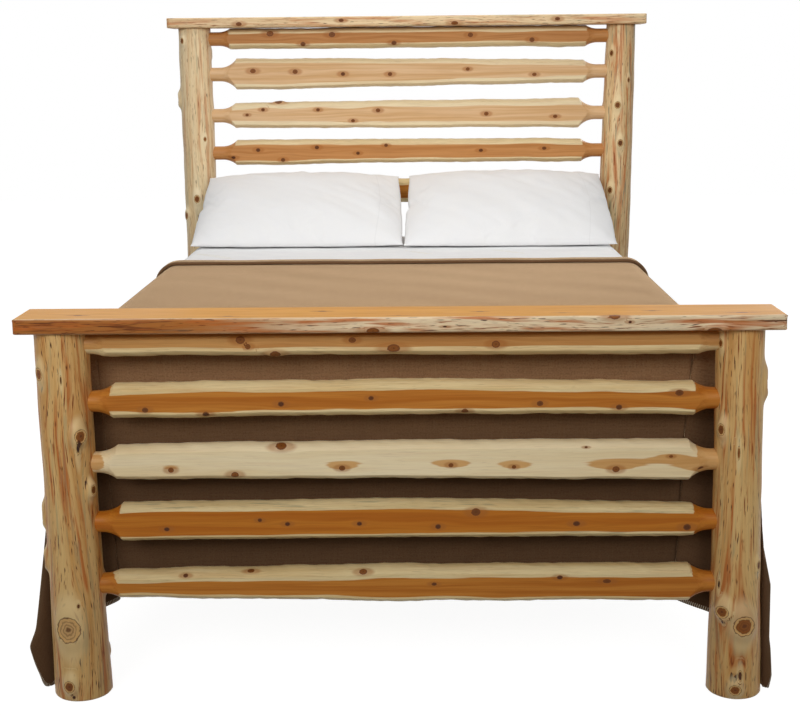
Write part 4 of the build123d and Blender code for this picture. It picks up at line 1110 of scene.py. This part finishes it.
def wool_blanket():
    """A milled wool blanket: soft brown heathered cloth with a raised nap that catches the
    light at a low angle, whipped round its edge with pale wool yarn."""
    material, tree = bare_material("milled brown wool")
    cloth = add_node(tree, "Attribute", {}, "Vector", attribute_name="cloth")
    # The threads are 1.5 mm; they are drawn 5 mm wide and 70 mm long, both ways, so that
    # they show. The heather's flecks are 4 mm, and the nap is 2 mm.
    drawn = draw_out(tree, cloth, [
        ("weft", (70, 5, 1000), 2.0, 0.0), ("warp", (5, 70, 1000), 2.0, 0.0),
        ("heather", (4, 4, 1000), 2.0, 0.0), ("cloud", (120, 90, 1000), 2.0, 0.0)])
    nap = add_node(tree, "TexNoise", {"Vector": cloth, "Scale": 480.0, "Detail": 3.0}, "Fac")

    # Painted shade: the wool's colour darkens down the hanging drops and on the turn-back's roll,
    # standing in for the shade that falls there.
    hem = add_node(tree, "Attribute", {}, "Vector", attribute_name="hem")
    painted_shade_share = add_node(tree, "SeparateXYZ", {0: hem}, "Z")

    # Whip stitches: a strand 2.8 mm wide across the edge every 6.8 mm, 10 mm deep.
    along_edge = add_node(tree, "SeparateXYZ", {0: hem}, "X")
    from_edge = add_node(tree, "SeparateXYZ", {0: hem}, "Y")
    strand = add_node(tree, "Math", {0: along_edge, 1: 0.0034}, operation="PINGPONG")
    strand = add_node(tree, "MapRange", {
        "Value": strand, "From Min": 0.0018, "From Max": 0.0010}, "Result")
    deep = add_node(tree, "MapRange", {
        "Value": from_edge, "From Min": 0.0110, "From Max": 0.0095}, "Result")
    stitch = add_node(tree, "Math", {0: strand, 1: deep}, operation="MULTIPLY")
    colour = lay_coats(tree, "#967150", [
        (drawn["weft"], 0.42, 0.66, 0.35, "#75563A"),
        (drawn["warp"], 0.42, 0.66, 0.35, "#9E7C59"),
        (drawn["heather"], 0.50, 0.72, 0.40, "#A78765"),
        (drawn["heather"], 0.46, 0.28, 0.40, "#553B27"),
        # Painted shade: the drops and the roll are darkened towards a deep brown.
        (drawn["cloud"], 0.35, 0.70, 0.15, "#7A5A3D"), (painted_shade_share, 0.0, 1.0, 0.66, "#3E2A1C"),
        (stitch, 0.0, 1.0, 1.0, "#E2D8C4")])
    relief = add_node(tree, "Math", {0: stitch, 1: 0.8, 2: nap}, operation="MULTIPLY_ADD")
    skin = add_node(tree, "Bump", {
        "Height": relief, "Distance": 0.0012, "Strength": 0.5}, "Normal")
    shader = add_node(tree, "BsdfPrincipled", {
        "Base Color": colour, "Roughness": 0.95, "Normal": skin, "Sheen Weight": 1.0,
        "Sheen Roughness": 0.35, "Sheen Tint": "#FFDDB2", "Specular IOR Level": 0.15})
    add_node(tree, "OutputMaterial", {"Surface": shader})
    return material


piece = put_in("blanket_cloth", mesh, wool_blanket(), "bed", "blanket")
cloth = piece.modifiers.new("thickness", "SOLIDIFY")
cloth.thickness, cloth.offset = CLOTH_THICK, 0.0


# ------------------------------------------------------------------- pillows
# Two queen pillows in white percale cases lean on the headboard, a hand deep. Each case is
# two panels sewn round three sides and filled until it is firm but still gives.
PILLOW_TILT = math.radians(27)
SHEET_LEVEL = 0.8775
HEADBOARD_FACE = 1.0725
CASE_CELLS = (84, 58)
CASE_SIZE = np.array([0.758, 0.492, 0.178])
FLAT_SHARE, FILLED_SHARE = 0.62, 0.38
PILLOW_CENTRE_Y, PILLOW_CENTRE_Z = 0.830, 0.990
SQUASH = 0.006


def empty_case(name, wide, deep, fat):
    """The two panels of a case, joined at their edge and puffed a little: across X and Y."""
    case = bmesh.new()
    bmesh.ops.create_grid(case, x_segments=CASE_CELLS[0], y_segments=CASE_CELLS[1], size=0.5)
    below = bmesh.ops.duplicate(case, geom=case.verts[:] + case.edges[:] + case.faces[:])["geom"]
    under = {v for v in below if isinstance(v, bmesh.types.BMVert)}
    bmesh.ops.reverse_faces(case, faces=[f for f in below if isinstance(f, bmesh.types.BMFace)])
    for corner in case.verts:
        u, v = 2 * corner.co.x, 2 * corner.co.y
        puff = fat / 2 * ((1 - abs(u) ** 2.6) * (1 - abs(v) ** 2.2)) ** 0.62 if max(
            abs(u), abs(v)) < 0.999 else 0.0
        corner.co = (wide / 2 * u, deep / 2 * v, -puff if corner in under else puff)
    bmesh.ops.remove_doubles(case, verts=case.verts, dist=1e-6)
    return mesh_of(case, name)


pillows = {}
for name in ("pillow_left", "pillow_right"):
    case = add_object(f"{name}_case", empty_case(name, 0.752, 0.490, 0.150))
    pillows[name] = case
    made = corners_of(case.data)
    store(case.data, "cloth", made)
    # Filled by air pressure: the panels swell and pucker towards their seam.
    filling = case.modifiers.new("filling", "CLOTH")
    for setting, value in (
        ("quality", 6), ("mass", 0.25), ("tension_stiffness", 22),
        ("compression_stiffness", 22), ("shear_stiffness", 12), ("bending_stiffness", 0.4),
        ("use_pressure", True), ("uniform_pressure_force", 4.0),
    ):
        setattr(filling.settings, setting, value)
    filling.settings.effector_weights.gravity = 0
    filling.collision_settings.use_collision = False
for step in range(1, 21):
    bpy.context.scene.frame_set(step)
view_layer = bpy.context.evaluated_depsgraph_get()
for case in pillows.values():
    filled = bpy.data.meshes.new_from_object(case.evaluated_get(view_layer))
    case.modifiers.clear()
    case.data = filled
bpy.context.scene.frame_set(1)

case_cotton = percale("cotton pillowcase", "#EDECEA", 0.275)
for (name, case), seed, half_deep in zip(pillows.items(), (601, 607), (0.234, 0.241)):
    mesh = case.data
    bpy.data.objects.remove(case)
    filled = corners_of(mesh)
    filled -= (filled.max(0) + filled.min(0)) / 2
    # Shaken out flat again by hand: a good half way back to the case as it was cut.
    u, v, w = (CASE_SIZE * (FILLED_SHARE * filled / np.ptp(filled, 0)
                            + FLAT_SHARE * made / np.ptp(made, 0))).T
    # Plumped, so that each side bows out a little between its corners' ears, and wider
    # where it stands on the sheet.
    for across, other, half in ((u, 1, 0.377), (v, 0, half_deep)):
        place = made[:, other] / np.ptp(made[:, other])
        row = np.round((place + 0.5) * CASE_CELLS[other]).astype(int)
        reached = np.zeros(CASE_CELLS[other] + 1)
        np.maximum.at(reached, row, np.abs(across))
        bow = 0.035 * ((2 * place) ** 12 - (2 * place) ** 4)
        across *= half * (1 + bow) / reached[row]
    u *= 0.988 - 0.026 * v / half_deep
    # Slept-on hollows, and creases that run in from the corners.
    w = w * (1 + 0.05 * ripple(seed, 0.35, u, v)) + 0.002 * ripple(seed + 1, 0.10, u, v) * (
        np.abs(w) > 0.02)
    tilt_y, tilt_z = math.cos(PILLOW_TILT), math.sin(PILLOW_TILT)
    y = PILLOW_CENTRE_Y + v * tilt_y - w * tilt_z
    z = PILLOW_CENTRE_Z + v * tilt_z + w * tilt_y
    # It flattens where it rests on the sheet and leans on the rails.
    z = SHEET_LEVEL + SQUASH * np.logaddexp(0, (z - SHEET_LEVEL) / SQUASH)
    y = HEADBOARD_FACE - SQUASH * np.logaddexp(0, (HEADBOARD_FACE - y) / SQUASH)
    low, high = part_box(name)
    move_corners(mesh, (low.x + high.x) / 2 + u, y, z)
    piece = put_in(f"{name}_cushion", mesh, case_cotton, name, name)
    finer = piece.modifiers.new("finer", "SUBSURF")
    finer.levels = finer.render_levels = 1


# ------------------------------------------------------------------- the studio
# A plain white floor, a white room and four soft lamps.
ROOM_LIGHT, FLOOR_LIFT = 0.24, 0.93
CAMERA_PLACE = (0.058, -4.405, 1.516)
view = bpy.data.cameras.new("view")
view.sensor_width, view.lens, view.clip_end = 36.0, 64.34, 60.0
camera = add_object("view", view)
yaw, pitch, roll = math.radians(-0.968), math.radians(11.658), math.radians(-0.544)
forward = np.array([math.sin(yaw) * math.cos(pitch), math.cos(yaw) * math.cos(pitch),
                    -math.sin(pitch)])
right = np.array([math.cos(yaw), -math.sin(yaw), 0.0])
up = np.cross(right, forward)
place = np.eye(4)
place[:3, :] = np.stack([math.cos(roll) * right + math.sin(roll) * up,
                         math.cos(roll) * up - math.sin(roll) * right, -forward, CAMERA_PLACE], 1)
camera.matrix_world = Matrix(place)
bpy.context.scene.camera = camera


def seen_directly(tree):
    """1 where the camera looks, straight or in gloss or through glass, and otherwise 0."""
    direct = 0.0
    for ray in ("Is Camera Ray", "Is Glossy Ray", "Is Transmission Ray"):
        direct = add_node(tree, "Math", {0: direct, 1: add_node(tree, "LightPath", {}, ray)},
                          operation="MAXIMUM")
    return direct


# The floor and the room show white to the camera and in gloss, with the bed's soft shadow.
white_paint, tree = bare_material("white studio floor")
lift = add_node(tree, "Math", {0: seen_directly(tree), 1: FLOOR_LIFT}, operation="MULTIPLY")
glow = add_node(tree, "Emission", {"Color": (1, 1, 1, 1), "Strength": lift})
matte = add_node(tree, "BsdfDiffuse", {"Color": "#9C9C9A"})
both = add_node(tree, "AddShader", {0: matte, 1: glow})
add_node(tree, "OutputMaterial", {"Surface": both})
boards = bmesh.new()
bmesh.ops.create_grid(boards, x_segments=2, y_segments=2, size=12)
floor = add_object("floor", mesh_of(boards, "floor"))
floor.data.materials.append(white_paint)
floor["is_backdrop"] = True

room = bpy.data.worlds.new("white room")
room.use_nodes = True
tree = room.node_tree
tree.nodes.clear()
level = add_node(tree, "MapRange", {
    "Value": seen_directly(tree), "To Min": ROOM_LIGHT, "To Max": 1.0}, "Result")
walls = add_node(tree, "Background", {"Color": (1, 1, 1, 1), "Strength": level})
add_node(tree, "OutputWorld", {"Surface": walls})
bpy.context.scene.world = room


def soft_lamp(name, at, towards, size, watts, spread=180):
    """A square soft box that faces a point, with a honeycomb that narrows its light."""
    light = bpy.data.lights.new(name, "AREA")
    light.size, light.energy, light.spread = size, watts, math.radians(spread)
    lamp = add_object(name, light)
    lamp.location = at
    lamp.rotation_euler = (Vector(towards) - Vector(at)).to_track_quat("-Z", "Y").to_euler()


soft_lamp("overhead", (0.0, 0.0, 4.1), (0, 0.4, 0.8), 2.8, 44)
soft_lamp("front left", (-1.9, -4.9, 3.2), (0, 0.9, 1.30), 2.2, 16, 60)
soft_lamp("front right", (2.1, -4.9, 3.2), (0, 0.9, 1.30), 2.2, 10, 60)
soft_lamp("behind", (3.4, 5.2, 2.8), (0, 1.1, 0.8), 2.2, 8, 60)

bpy.context.scene.view_settings.view_transform = "Standard"
low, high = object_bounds()
